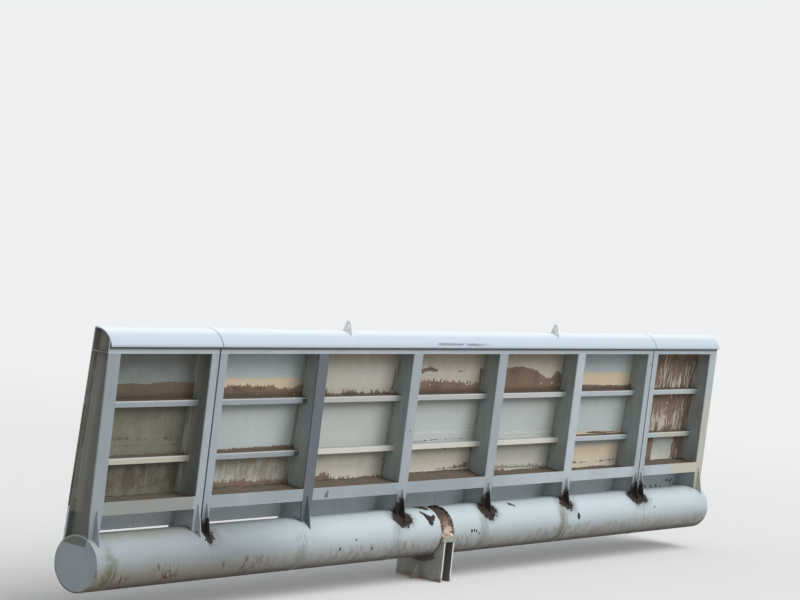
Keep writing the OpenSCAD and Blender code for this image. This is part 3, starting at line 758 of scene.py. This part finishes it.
def tube_look(graph, at, colours):
    """Tube: pale paint, clean on top; a cream veil and clusters of rusty runs on its lower half, a dark
    underside, stains beside the girth welds and a few burnt blots."""
    turn = at.z.angle(at.y * -1)
    arc = turn * TUBE_R
    broad = at.noise(1.6, 4)
    blotch = at.noise(5, 5, 0.65)
    fine = at.noise(40, 4, 0.65)
    runs = graph.noise(graph.vector(at.x * 1.2, arc * 0.5, 3.0), 9, 5, 0.7, 0.4)
    slanted = graph.noise(graph.vector(at.x * 1.6 + arc * 0.5, arc * 0.55, 8.0), 15, 3, 0.6, 0.5)
    clusters = graph.noise(graph.vector(at.x, arc * 0.5, 4.0), 2.2, 3, 0.6)
    ragged = graph.noise(graph.vector(at.x, arc, 0.0), 22, 4, 0.6) - 0.5
    low = (at.z + (blotch - 0.5) * 0.25).ramp(0.10, -0.22)
    dirty, marks, dim = graph.table(at.x, [(x, percent(look)) for x, *look in TUBE_LOOKS], blend=True)
    film = dirty * (0.15 + blotch) * (0.30 + low * 0.9 + turn.ramp(0.85, 1.25) * 0.6)
    stain = (runs * 0.6 + blotch * 0.4 + low * 0.06).ramp(0.48, 0.66) * low * 0.55
    band = (at.z + (blotch - 0.5) * 0.10).ramp(0.02, -0.05) * at.z.ramp(-0.27, -0.20)
    marks = slanted.ramp(0.50, 0.57) * band * (marks * clusters.ramp(0.43, 0.53))
    underside = (at.z + (blotch - 0.5) * 0.14).ramp(-0.17, -0.27)
    patchy = (blotch + low * 0.14 + ragged * 0.4).ramp(0.30, 0.48) * at.z.ramp(0.28, 0.12)
    rings = [abs(at.x - x + 0.035 + (blotch - 0.5) * 0.10).ramp(0.140, 0.030) * patchy * strength
             for x, strength in zip(GIRTH_X, GIRTH_STAIN) if strength]
    colour = graph.layers(
        colours.tube,
        (broad.ramp(0.3, 0.7) * 0.5, (0.45, 0.53, 0.55)),
        # Darker where the table says, and painted shade along the tube's top, under the skin
        ((dim * 2.3).most(turn.ramp(1.30, 1.65) * 0.4), (0.19, 0.23, 0.26)),
        (low * (0.20 + blotch * 0.6), (0.44, 0.40, 0.34)),
        (film.least(0.95), (0.25, 0.225, 0.155)),
        (stain, (0.225, 0.18, 0.155)),
        (marks, (0.125, 0.070, 0.038)),
        (underside * 0.85, (0.11, 0.085, 0.065)),
        *((ring, (0.155, 0.155, 0.095)) for ring in rings))
    foot = Feet(graph, at)
    # The blots are drawn on the unrolled tube, a little shortened round it
    squeeze = 0.8
    blots = graph.spots(at.x, arc * squeeze, ragged * 0.24,
                        [(x, math.radians(angle) * TUBE_R * squeeze, size) for x, angle, size in BLOTS])
    colour = graph.mix(blots, foot.burn_in(colour, colours), colours.soot)
    matt = foot.matt.most(blots.most(marks).most(stain) * 0.92)
    return colour, (0.42 + fine * 0.15 + low * 0.12).most(matt), fine * 0.5 + runs * 0.5, 0.0012


def bearing_look(graph, at, colours):
    """Journal and shell: dark steel under a crust of dried mud, black on top and pale and crumbly at
    the pads."""
    crust = at.noise(13, 5, 0.7)
    fine = at.noise(48, 4, 0.7)
    pale = at.z.ramp(0.15, 0.04) * (at.z > -0.03) * (crust + fine * 0.4).ramp(0.64, 0.74)
    rim = (abs(at.x) + (crust - 0.5) * 0.06).ramp(JOURNAL_HALF - 0.003, JOURNAL_HALF + 0.006)
    rim = rim * (abs(at.x) > SADDLE_HALF + 0.003)
    painted = graph.mix(at.noise(8, 4).ramp(0.4, 0.6) * 0.5, colours.tube, (0.45, 0.43, 0.35))
    dark = (at.z + (crust - 0.5) * 0.15).ramp(0.16, 0.25) * (1 - rim)
    colour = graph.layers(
        (0.075, 0.048, 0.034),
        (crust.ramp(0.42, 0.58), colours.mud),
        (fine.ramp(0.58, 0.70) * 0.6, (0.36, 0.26, 0.19)),
        (pale * 0.9, (0.66, 0.53, 0.46)),
        ((at.z < -0.03) * 0.7, (0.13, 0.115, 0.095)),
        (rim, painted),
        (dark * 0.9, (0.030, 0.022, 0.018)))
    return colour, 0.85 - rim * 0.3, crust + fine * 0.5, 0.012


def pedestal_look(graph, at, colours):
    """Pedestal: grey paint, worn bright on the plates' front edges, painted shade between the cheeks,
    silt on top and a little mud at the foot."""
    broad = at.noise(5, 4)
    fine = at.noise(45, 4, 0.65)
    runs = at.noise(16, 4, 0.6, stretch=(1.5, 1.5, 0.2))
    # Painted shade: the gap between the cheeks under the pads is painted almost black
    between = (abs(at.x) < 0.0835) * (at.z < UNDER_PADS)
    bright = (abs(at.ny) > 0.5) * (abs(at.x) > 0.080) * (abs(at.y) > 0.345) * (at.z < UNDER_PADS)
    splash = (at.z + (at.noise(12, 4, 0.7) - 0.5) * 0.30).ramp(-0.50, -0.60)
    silt = at.nz.ramp(0.5, 0.8) * (0.5 + fine * 0.8)
    colour = graph.layers(
        colours.pedestal,
        (broad.ramp(0.35, 0.65) * 0.5, (0.27, 0.275, 0.245)),
        (runs.ramp(0.5, 0.7) * 0.25, (0.22, 0.20, 0.155)),
        (between * 0.75, (0.075, 0.080, 0.080)),
        (bright * (0.55 + fine * 0.5), (0.80, 0.82, 0.78)),
        (splash * 0.7, colours.mud),
        (silt.least(1.0), (0.55, 0.45, 0.36)))
    return colour, 0.6 + fine * 0.2, fine * 0.6 + broad * 0.4, 0.0015


def mud_look(graph, at, colours):
    """Dried mud: brown with darker damp patches and a dark foot, pale scratches and crumbs."""
    clouds = at.noise(3.2, 5, 0.65)
    crumbs = at.noise(70, 4, 0.7)
    beds = at.noise(11, 4, 0.65, stretch=(0.5, 1, 2.6))
    golden = at.first_bay * (at.z + (beds - 0.5) * 0.10).ramp(1.78, 1.84)
    shelf, middle, upper = (abs(at.z - low) for low, high in ROWS)
    damp = (shelf.least(middle).least(upper) + (clouds - 0.5) * 0.08).ramp(0.085, 0.03)
    flakes = at.noise(26, 3, 0.5, stretch=(1.2, 1, 0.8)).ramp(0.71, 0.75) * 0.9
    flakes = flakes.most(graph.spots(at.x, at.z, crumbs - 0.5, FLAKES))
    scratched = (at.x - JOINT_X[1] - 0.40).ramp(0.0, 0.25) * at.ny.ramp(-0.3, -0.6)
    scratch = at.noise(9, 5, 0.72, 0.6, stretch=(2.0, 1, 0.36))
    in_upper, middle_z = at.z > 1.70, ROWS[1][0]
    height = (at.z - ROWS[2][0]).ramp(0.45, 0.12) * in_upper
    height = height.most((at.z - middle_z).ramp(0.45, 0.08) * (at.z < 1.70) * (at.z > middle_z))
    pale = (scratch + height * 0.10 + (clouds - 0.5) * 0.2).ramp(0.60, 0.645) * scratched
    colour = graph.layers(
        colours.mud,
        (clouds.ramp(0.42, 0.72) * 0.7, colours.dark_mud),
        (beds.ramp(0.52, 0.68) * 0.35, (0.27, 0.195, 0.135)),
        (golden * 0.6, (0.28, 0.21, 0.14)),
        (at.first_bay * 0.45, (0.045, 0.035, 0.024)),
        (damp * 0.55, colours.dark_mud),
        (at.nz.ramp(0.3, 0.85) * (0.6 + clouds * 0.5), (0.088, 0.072, 0.052)),
        (flakes, (0.62, 0.57, 0.50)),
        (pale * 0.9, (0.60, 0.54, 0.45)))
    return colour, 0.9 - pale * 0.2, crumbs * 0.5 + beds * 0.5, 0.004


def pale_mud_look(graph, at, colours):
    """Dried clay: pinkish crumbs with brown hollows between them."""
    clods = at.noise(22, 4, 0.7)
    fine = at.noise(80, 3, 0.6)
    crumbs = (clods + (fine - 0.5) * 0.3).ramp(0.42, 0.56)
    colour = graph.mix(crumbs, colours.mud, (0.66, 0.53, 0.46))
    return colour, 0.85 + fine * 0.1, clods + fine * 0.4, 0.008


def coat_look(graph, at, colours):
    """Mud coat: mud inside its ragged outline, and the skin's own finish on the film outside it."""
    edge, tooth = (graph.node("ShaderNodeAttribute", {"attribute_name": name}, output=2)
                   for name in ("edge", "tooth"))
    spikes = at.noise(24, 4, 0.7, 0.5, stretch=(1, 1, 0.26)).ramp(0.44, 0.68)
    ragged = at.noise(40, 4, 0.7) - 0.5
    inside = edge + (spikes * 1.9 - 0.6 + ragged * 2.4) * tooth + ragged * 0.020
    inside = inside.ramp(-0.002, 0.002)
    skin, mud = skin_look(graph, at, colours), mud_look(graph, at, colours)
    roughness = skin[1] + (mud[1] - skin[1]) * inside
    height = skin[2] * 0.3 + (mud[2] + 0.2 - skin[2] * 0.3) * inside
    return graph.mix(inside, skin[0], mud[0]), roughness, height, 0.004


def weld_look(graph, at, colours, heat):
    """Weld metal under paint; heat, from 0 to 1, says how far it is bare, browned and sooty."""
    fine = at.noise(60, 4, 0.7)
    patch = at.noise(6, 4, 0.6).ramp(0.40, 0.62)
    in_cell = (at.y > FRONT_Y + FLANGE_T) * (at.z > LOWER_BEAM_Z)
    left_bays = at.x.ramp(RIB_X[2] + 1.2, RIB_X[2])
    colour = graph.layers(
        colours.frame,
        (fine.ramp(0.3, 0.7) * 0.4, (0.38, 0.42, 0.42)),
        (in_cell * 0.8, colours.web),
        (left_bays * (1 - in_cell) * 0.6, (0.19, 0.22, 0.22)),
        (patch * heat, (0.17, 0.12, 0.08)),
        (fine.ramp(0.6, 0.8) * heat * 0.5, (0.62, 0.60, 0.56)))
    foot = Feet(graph, at)
    colour = foot.burn_in(colour, colours)
    return colour, (0.48 + fine * 0.2).most(foot.matt), fine, 0.0015


def slag_look(graph, at, colours):
    """Slag: crumbs burnt black, rusty on some sides."""
    fine = at.noise(60, 4, 0.7)
    rusty = at.noise(25, 3, 0.6).ramp(0.50, 0.64)
    return graph.mix(rusty * 0.7, colours.soot, (0.085, 0.048, 0.032)), 0.85 + fine * 0.15, fine, 0.0015


# Operators

class GateOperator:
    """What the operators of the gate share."""
    bl_options = {"REGISTER", "UNDO"}


def placed(right, up, back, place=(0, 0, 0)):
    """Matrix of a lamp or camera that has these axes and stands at a place."""
    return Matrix([*zip(right, up, back, place), (0, 0, 0, 1)])


class GATE_OT_stage(GateOperator, bpy.types.Operator):
    """Makes the floor, the soft lamps and the camera at the photograph's angle."""
    bl_idname = "gate.stage"
    bl_label = "Stage"

    def execute(self, context):
        scene, stage = context.scene, context.scene.gate_stage
        sides = 96
        turns = np.linspace(0, 2 * math.pi, sides, endpoint=False)
        radii = np.array([0.0001, 3, 6, 10, 16, 24, 36, 60, 100, 200, 400])[:, None]
        points = grid(radii * np.cos(turns), radii * np.sin(turns), -0.0005)
        i, j = np.arange(len(radii) - 1)[:, None] * sides, np.arange(sides)[None, :]
        after = (j + 1) % sides
        faces = np.stack([i + j, i + sides + j, i + sides + after, i + after], -1)
        mesh = bpy.data.meshes.new("floor")
        mesh.from_pydata(points.reshape(-1, 3), [], faces.reshape(-1, 4).tolist())
        floor = bpy.data.objects.new("floor", mesh)
        scene.collection.objects.link(floor)
        material = bpy.data.materials.new("floor")
        material.use_nodes = True
        graph = Graph(material.node_tree)
        x, y = graph.parts(graph.node("ShaderNodeTexCoord", output=3))[:2]
        away = (x * x + y * y).root().ramp(9.0, 26.0)
        seen = graph.node("ShaderNodeLightPath")
        paint = graph.mix(seen, (0.36, 0.35, 0.34), stage.floor)
        matt = graph.node("ShaderNodeBsdfDiffuse", None, {"Color": paint})
        plain = graph.node("ShaderNodeEmission", None, {"Color": stage.backdrop, "Strength": 1.0})
        mixed = graph.node("ShaderNodeMixShader", None, {0: away * seen, 1: matt, 2: plain})
        graph.node("ShaderNodeOutputMaterial", None, {"Surface": mixed})
        mesh.materials.append(material)

        world = bpy.data.worlds.new("studio")
        scene.world = world
        world.use_nodes = True
        graph = Graph(world.node_tree)
        seen, glossy = (graph.node("ShaderNodeLightPath", output=k) for k in (0, 3))
        light, plain = (graph.node("ShaderNodeBackground", None, {"Color": colour, "Strength": strength})
                        for colour, strength in (((0.92, 0.96, 1.0), stage.sky), (stage.backdrop, 1.0)))
        mixed = graph.node("ShaderNodeMixShader", None, {0: seen.most(glossy), 1: light, 2: plain})
        graph.node("ShaderNodeOutputWorld", None, {"Surface": mixed})

        for name, towards, strength, width in (("key", (0.30, -0.56, 0.77), stage.key, 55),
                                               ("fill", (-0.9, -0.15, 0.6), stage.key * 0.26, 90)):
            lamp = bpy.data.lights.new(name, "SUN")
            lamp.energy, lamp.angle = strength, math.radians(width)
            lamp_object = bpy.data.objects.new(name, lamp)
            back = np.array(towards) / np.linalg.norm(towards)
            side = np.cross((0, 0, 1), back)
            side /= np.linalg.norm(side)
            lamp_object.matrix_world = placed(side, np.cross(back, side), back)
            scene.collection.objects.link(lamp_object)

        camera = bpy.data.cameras.new("camera")
        camera.lens, camera.sensor_width, camera.clip_end = stage.lens, 36, 1000
        eye = bpy.data.objects.new("camera", camera)
        right, up = (0.59212, -0.79901, 0.10485), (-0.01760, 0.11726, 0.99298)
        eye.matrix_world = placed(right, up, np.cross(right, up), (-26.022, -18.237, 5.226))
        scene.collection.objects.link(eye)
        scene.camera = eye
        scene.view_settings.view_transform = "Standard"
        return {"FINISHED"}


class GATE_OT_paint(GateOperator, bpy.types.Operator):
    """Gives each CAD node its painted, stained or muddy finish."""
    bl_idname = "gate.paint"
    bl_label = "Paint the CAD nodes"

    def execute(self, context):
        names = sorted(frame["nodes"])
        # Materials with the first letters of their nodes' names; the last one takes what is left
        for title, look, starts in (
                ("crest paint", crest_look, ("crest_left", "crest_middle", "crest_right")),
                ("lug paint", lug_look, ("lifting_lug",)),
                ("skin paint", skin_look, ("skin",)),
                ("tube paint", tube_look, ("tube_left", "tube_middle", "tube_right")),
                ("muddy steel", bearing_look, ("tube_journal", "saddle_shell")),
                ("pedestal paint", pedestal_look, ("pedestal", "cheek", "seat_pad")),
                ("frame paint", frame_look, ("",))):
            dress([name for name in names if name.startswith(starts)], finished(title, look))
            names = [name for name in names if not name.startswith(starts)]
        return {"FINISHED"}


# Mud coats on the skin: row, bay, upper and lower outline in thousandths (across the bay, up the row)
# and the height of the teeth along the edge in millimetres
COATS = (
    (2, 0, ((0, 330), (230, 320), (370, 340), (520, 310), (640, 350), (800, 360), (1000, 320)), (), 4),
    (2, 1, ((0, 240), (220, 240), (400, 270), (650, 230), (750, 200), (880, 200), (1000, 290)), (), 22),
    (2, 2, ((0, 70), (260, 70), (380, 80), (500, 110), (590, 80), (800, 80), (1000, 60)), (), 34),
    (2, 2, ((938, 580), (952, 600)), ((938, 100), (952, 80)), 6),
    (2, 3, ((0, 290), (280, 300), (370, 320), (460, 320), (550, 280), (670, 280), (780, 260),
            (900, 270), (955, 250)), (), 26),
    (2, 3, ((100, 620), (260, 600), (340, 630), (420, 570)),
     ((100, 500), (260, 470), (300, 530), (360, 530), (420, 510)), 12),
    (2, 3, ((670, 530), (710, 540), (750, 520)), ((670, 510), (710, 500), (750, 510)), 8),
    (2, 3, ((925, 560), (940, 600), (957, 570)), ((925, 300), (957, 200)), 12),
    (2, 4, ((0, 580), (280, 600), (380, 620), (480, 610), (560, 570), (640, 530), (710, 420),
            (780, 330), (840, 340), (890, 480), (920, 520), (970, 420)), (), 9),
    (2, 5, ((0, 150), (300, 150), (570, 130), (880, 110), (980, 150), (1000, 170)), (), 5),
    (2, 6, ((0, 990), (1000, 980)), (), 6),
    (1, 0, ((100, 380), (300, 370), (600, 340), (970, 330)), ((100, 360), (600, 325), (970, 310)), 16),
    (1, 0, ((50, 225), (300, 215), (930, 205)), ((50, 215), (930, 195)), 5),
    (1, 0, ((0, 35), (1000, 30)), (), 8),
    (1, 1, ((200, 50), (600, 70), (1000, 90)), (), 8),
    (1, 3, ((100, 20), (290, 30), (550, 60), (700, 50), (850, 55)),
     ((100, 0), (290, 15), (550, 45), (850, 45)), 4),
    (1, 5, ((440, 55), (560, 80), (690, 65), (920, 45)),
     ((440, 50), (560, 25), (700, 20), (920, 40)), 2),
    (1, 6, ((0, 990), (1000, 980)), (), 6),
    (0, 0, ((0, 140), (500, 120), (1000, 130)), (), 12),
    (0, 1, ((0, 340), (300, 320), (500, 360), (750, 300), (1000, 320)), (), 22),
    (0, 2, ((0, 360), (280, 340), (360, 440), (420, 270), (530, 220), (630, 220), (950, 220),
            (1000, 200)), (), 26),
    (0, 2, ((960, 760), (975, 770)), ((960, 700), (975, 680)), 6),
    (0, 3, ((0, 250), (500, 260), (1000, 260)), (), 4),
    (0, 3, ((600, 300), (700, 330), (810, 380), (900, 420), (957, 520)),
     ((600, 285), (700, 290), (810, 300), (957, 310)), 22),
    (0, 3, ((650, 980), (670, 980)), ((650, 920), (670, 910)), 6),
    (0, 3, ((955, 970), (975, 970)), ((955, 820), (975, 840)), 8),
    (0, 4, ((100, 325), (440, 315), (590, 305), (800, 270), (920, 220)),
     ((100, 300), (440, 290), (590, 285), (800, 255), (920, 200)), 16),
    (0, 4, ((0, 190), (330, 190), (460, 140), (710, 140), (970, 100), (1000, 90)), (), 22),
    (0, 5, ((300, 260), (550, 235), (710, 250), (830, 280), (930, 260)),
     ((300, 245), (550, 215), (710, 225), (830, 250), (930, 245)), 12),
    (0, 5, ((0, 50), (400, 60), (600, 90), (1000, 60)), (), 8),
    (0, 6, ((0, 160), (440, 160), (790, 170), (1000, 160)), (), 8),
    (0, 6, ((0, 990), (430, 980), (460, 900)), ((0, 100), (400, 100), (460, 140)), 8),
    (0, 6, ((800, 990), (955, 980)), (), 16),
)


class GATE_OT_mud_coats(GateOperator, bpy.types.Operator):
    """Lays the dried mud on the skin, cell by cell, with its ragged upper edges."""
    bl_idname = "gate.mud_coats"
    bl_label = "Mud on the skin"

    def execute(self, context):
        material = finished("mud coats", coat_look)
        thick = context.scene.gate_sizes.coat
        for row, title in enumerate(("lower", "middle", "upper")):
            solids, edges, teeth = [], [], []
            for number, (at_row, bay, upper, lower, tooth) in enumerate(COATS):
                if at_row != row:
                    continue
                tooth = tooth / 1000
                for surface, edge in cell_coats(row, bay, upper, lower, tooth, thick, number * 11 + 3):
                    solids.append(surface)
                    edges.append(edge)
                    teeth.append(np.full(len(edge), tooth))
            piece("mud_coats_" + title, solids, material, rim=(COAT_FRONT, COAT_FRONT + 2),
                  marks={"edge": np.concatenate(edges), "tooth": np.concatenate(teeth)})
        return {"FINISHED"}


# How high the silt stands on the lower beam in each bay, as shares of the heap's set height
HEAPS = (0.70, 0.95, 1.10, 1.30, 0.75, 0.32, 0.88)
# Highest front of the silt on the lower beam, and the silt's height at the back of each stringer
HEAP_FRONT = 0.050
STRINGER_SILT = {1: 0.010, 2: 0.014}


class GATE_OT_silt(GateOperator, bpy.types.Operator):
    """Heaps silt on the lower beam's shelf and a thin layer on the stringers."""
    bl_idname = "gate.silt"
    bl_label = "Silt on the shelves"

    def execute(self, context):
        material = finished("dried mud", mud_look)
        beam, stringers = [], []
        for bay, (left, right) in enumerate(BAYS):
            a, b = RIB_X[left] + WEB_T / 2 + 0.002, RIB_X[right] - WEB_T / 2 - 0.002
            z = SHELF_Z + 0.0002
            tall = context.scene.gate_sizes.heap * HEAPS[bay]
            beam.append(ledge(a, b, FRONT_Y + FLANGE_T + 0.001, skin_y(z) - INNER_T - 0.006, z,
                              min(HEAP_FRONT, tall * 0.7), tall, bay * 5 + 1))
            for row in (2,) if bay in (2, 3, 4) else (1, 2):
                z = ROWS[row][0] + 0.0002
                stringers.append(ledge(a, b, skin_y(z) - STRINGER_D + 0.004, skin_y(z) - INNER_T - 0.006,
                                       z, 0.0015, STRINGER_SILT[row], bay * 7 + row))
        piece("silt_lower_beam", beam, material)
        piece("silt_stringers", stringers, material)
        return {"FINISHED"}


class GATE_OT_girth_welds(GateOperator, bpy.types.Operator):
    """Lays the weld beads round the torque tube, flatter in the left bays."""
    bl_idname = "gate.girth_welds"
    bl_label = "Girth welds"

    def execute(self, context):
        sizes = context.scene.gate_sizes
        rings = [bead_ring(x, TUBE_R, sizes.ring_width,
                           sizes.ring_height * (0.45 if x < RIB_X[2] else 1), 31 + k)
                 for k, x in enumerate(GIRTH_X)]
        piece("girth_welds", rings, finished("girth weld", weld_look, heat=0.55))
        return {"FINISHED"}


class GATE_OT_fillets(GateOperator, bpy.types.Operator):
    """Lays the fillet welds of ribs, beams, stringers and skin."""
    bl_idname = "gate.fillets"
    bl_label = "Fillet welds"

    def execute(self, context):
        leg = context.scene.gate_sizes.weld
        ribs, shelves = [], []
        z = np.linspace(LOWER_BEAM_Z + LOWER_BEAM_H, TOP_BEAM_Z - 0.01, 190)
        for number, rib_x in enumerate(RIB_X):
            for side in (-1, 1):
                x = rib_x + side * WEB_T / 2
                for y, inward, seed in ((FRONT_Y + FLANGE_T, 1, 2),
                                        (skin_y(z) - INNER_T - FILM, -1, 20)):
                    ribs.append(fillet(from_leaf(grid(x, y, z)), (side, 0, 0), (0, inward, 0), leg,
                                       number + seed))
        for bay, (left, right) in enumerate(BAYS):
            x = np.linspace(RIB_X[left] + INNER_HALF[left] + 0.002,
                            RIB_X[right] - INNER_HALF[right] - 0.002, 170)
            for z, up in ((ROWS[0][1], -1), (ROWS[1][0], 1), (ROWS[1][1], -1), (ROWS[2][0], 1),
                          (SHELF_Z - BEAM_T, -1), (TOP_BEAM_Z, -1)):
                corner = from_leaf(grid(x, skin_y(z) - FILM, z))
                shelves.append(fillet(corner, (0, -1, 0), (0, 0, up), leg * 0.8, bay * 9 + up + 1))
        painted = finished("painted weld", weld_look, heat=0.12)
        piece("rib_welds", ribs, painted)
        piece("shelf_welds", shelves, painted)
        return {"FINISHED"}


class GATE_OT_slag(GateOperator, bpy.types.Operator):
    """Scatters crumbs of slag and burnt paint on the tube round the burnt feet of the ribs."""
    bl_idname = "gate.slag"
    bl_label = "Slag at the rib feet"

    def execute(self, context):
        draw = np.random.default_rng(77)
        crumbs = []
        for x, burn in zip(RIB_X, FOOT_BURN):
            for number in range(int(40 * burn) if burn > 0.2 else 0):
                turn, along = math.radians(draw.normal(54, 8)), draw.normal(0, 0.07)
                size = 0.003 + 0.013 * draw.random() ** 2
                reach = TUBE_R + size * 0.35
                centre = (x + along, -reach * math.cos(turn), reach * math.sin(turn))
                crumbs.append(lump(centre, size, int(draw.integers(1, 9999))))
        piece("foot_slag", crumbs, finished("slag", slag_look))
        return {"FINISHED"}


class GATE_OT_bearing_mud(GateOperator, bpy.types.Operator):
    """Heaps mud on the front and rear seat pads, clear of the turning journal."""
    bl_idname = "gate.bearing_mud"
    bl_label = "Mud on the bearing"

    def execute(self, context):
        tall = context.scene.gate_sizes.pad_heap
        x = np.linspace(-SADDLE_HALF, SADDLE_HALF, 80)[:, None]
        share = np.linspace(0, 1, 13)[None, :]
        y = PAD_Y + 0.002 + 0.056 * share
        bulk = np.clip(1 - (x / (SADDLE_HALF + 0.003)) ** 2, 0, 1) ** 0.45
        heaps = []
        for side, seed in ((1, 3), (-1, 8)):
            rough = (1 + 0.25 * waves(x + 2 * y, seed, 0.02, 0.2)
                     + 0.15 * waves(3 * y - x, seed + 4, 0.02, 0.1))
            height = tall * bulk * np.sin(math.pi * (0.06 + 0.74 * share)) * rough
            top = grid(x, side * y, PAD_TOP + np.maximum(height, 0.0015))
            base = grid(x, side * y, PAD_TOP - FILM)[:, [-1, 0]]
            heaps.append(solid(np.concatenate([top, base], 1)))
        piece("pad_mud", heaps, finished("pale mud", pale_mud_look), body="pedestal")
        return {"FINISHED"}


STEPS = (GATE_OT_stage, GATE_OT_paint, GATE_OT_mud_coats, GATE_OT_silt, GATE_OT_girth_welds,
         GATE_OT_fillets, GATE_OT_slag, GATE_OT_bearing_mud)
GROUPS = {"gate_colours": GateColours, "gate_sizes": GateSizes, "gate_stage": GateStage}


class GATE_PT_panel(bpy.types.Panel):
    """Lists the steps that dress the gate, and their settings."""
    bl_idname = "GATE_PT_panel"
    bl_label = "Flap gate"
    bl_space_type = "VIEW_3D"
    bl_region_type = "UI"
    bl_category = "Flap gate"

    def draw(self, context):
        for step in STEPS:
            self.layout.operator(step.bl_idname)
        for name, group in GROUPS.items():
            for setting in group.__annotations__:
                self.layout.prop(getattr(context.scene, name), setting)


def register():
    for made in (*GROUPS.values(), *STEPS, GATE_PT_panel):
        bpy.utils.register_class(made)
    for name, group in GROUPS.items():
        setattr(bpy.types.Scene, name, bpy.props.PointerProperty(type=group))


def unregister():
    for name in GROUPS:
        delattr(bpy.types.Scene, name)
    for made in reversed((*GROUPS.values(), *STEPS, GATE_PT_panel)):
        bpy.utils.unregister_class(made)


def main():
    """Registers the add-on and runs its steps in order."""
    register()
    for step in STEPS:
        family, name = step.bl_idname.split(".")
        getattr(getattr(bpy.ops, family), name)()


if __name__ == "__main__":
    main()
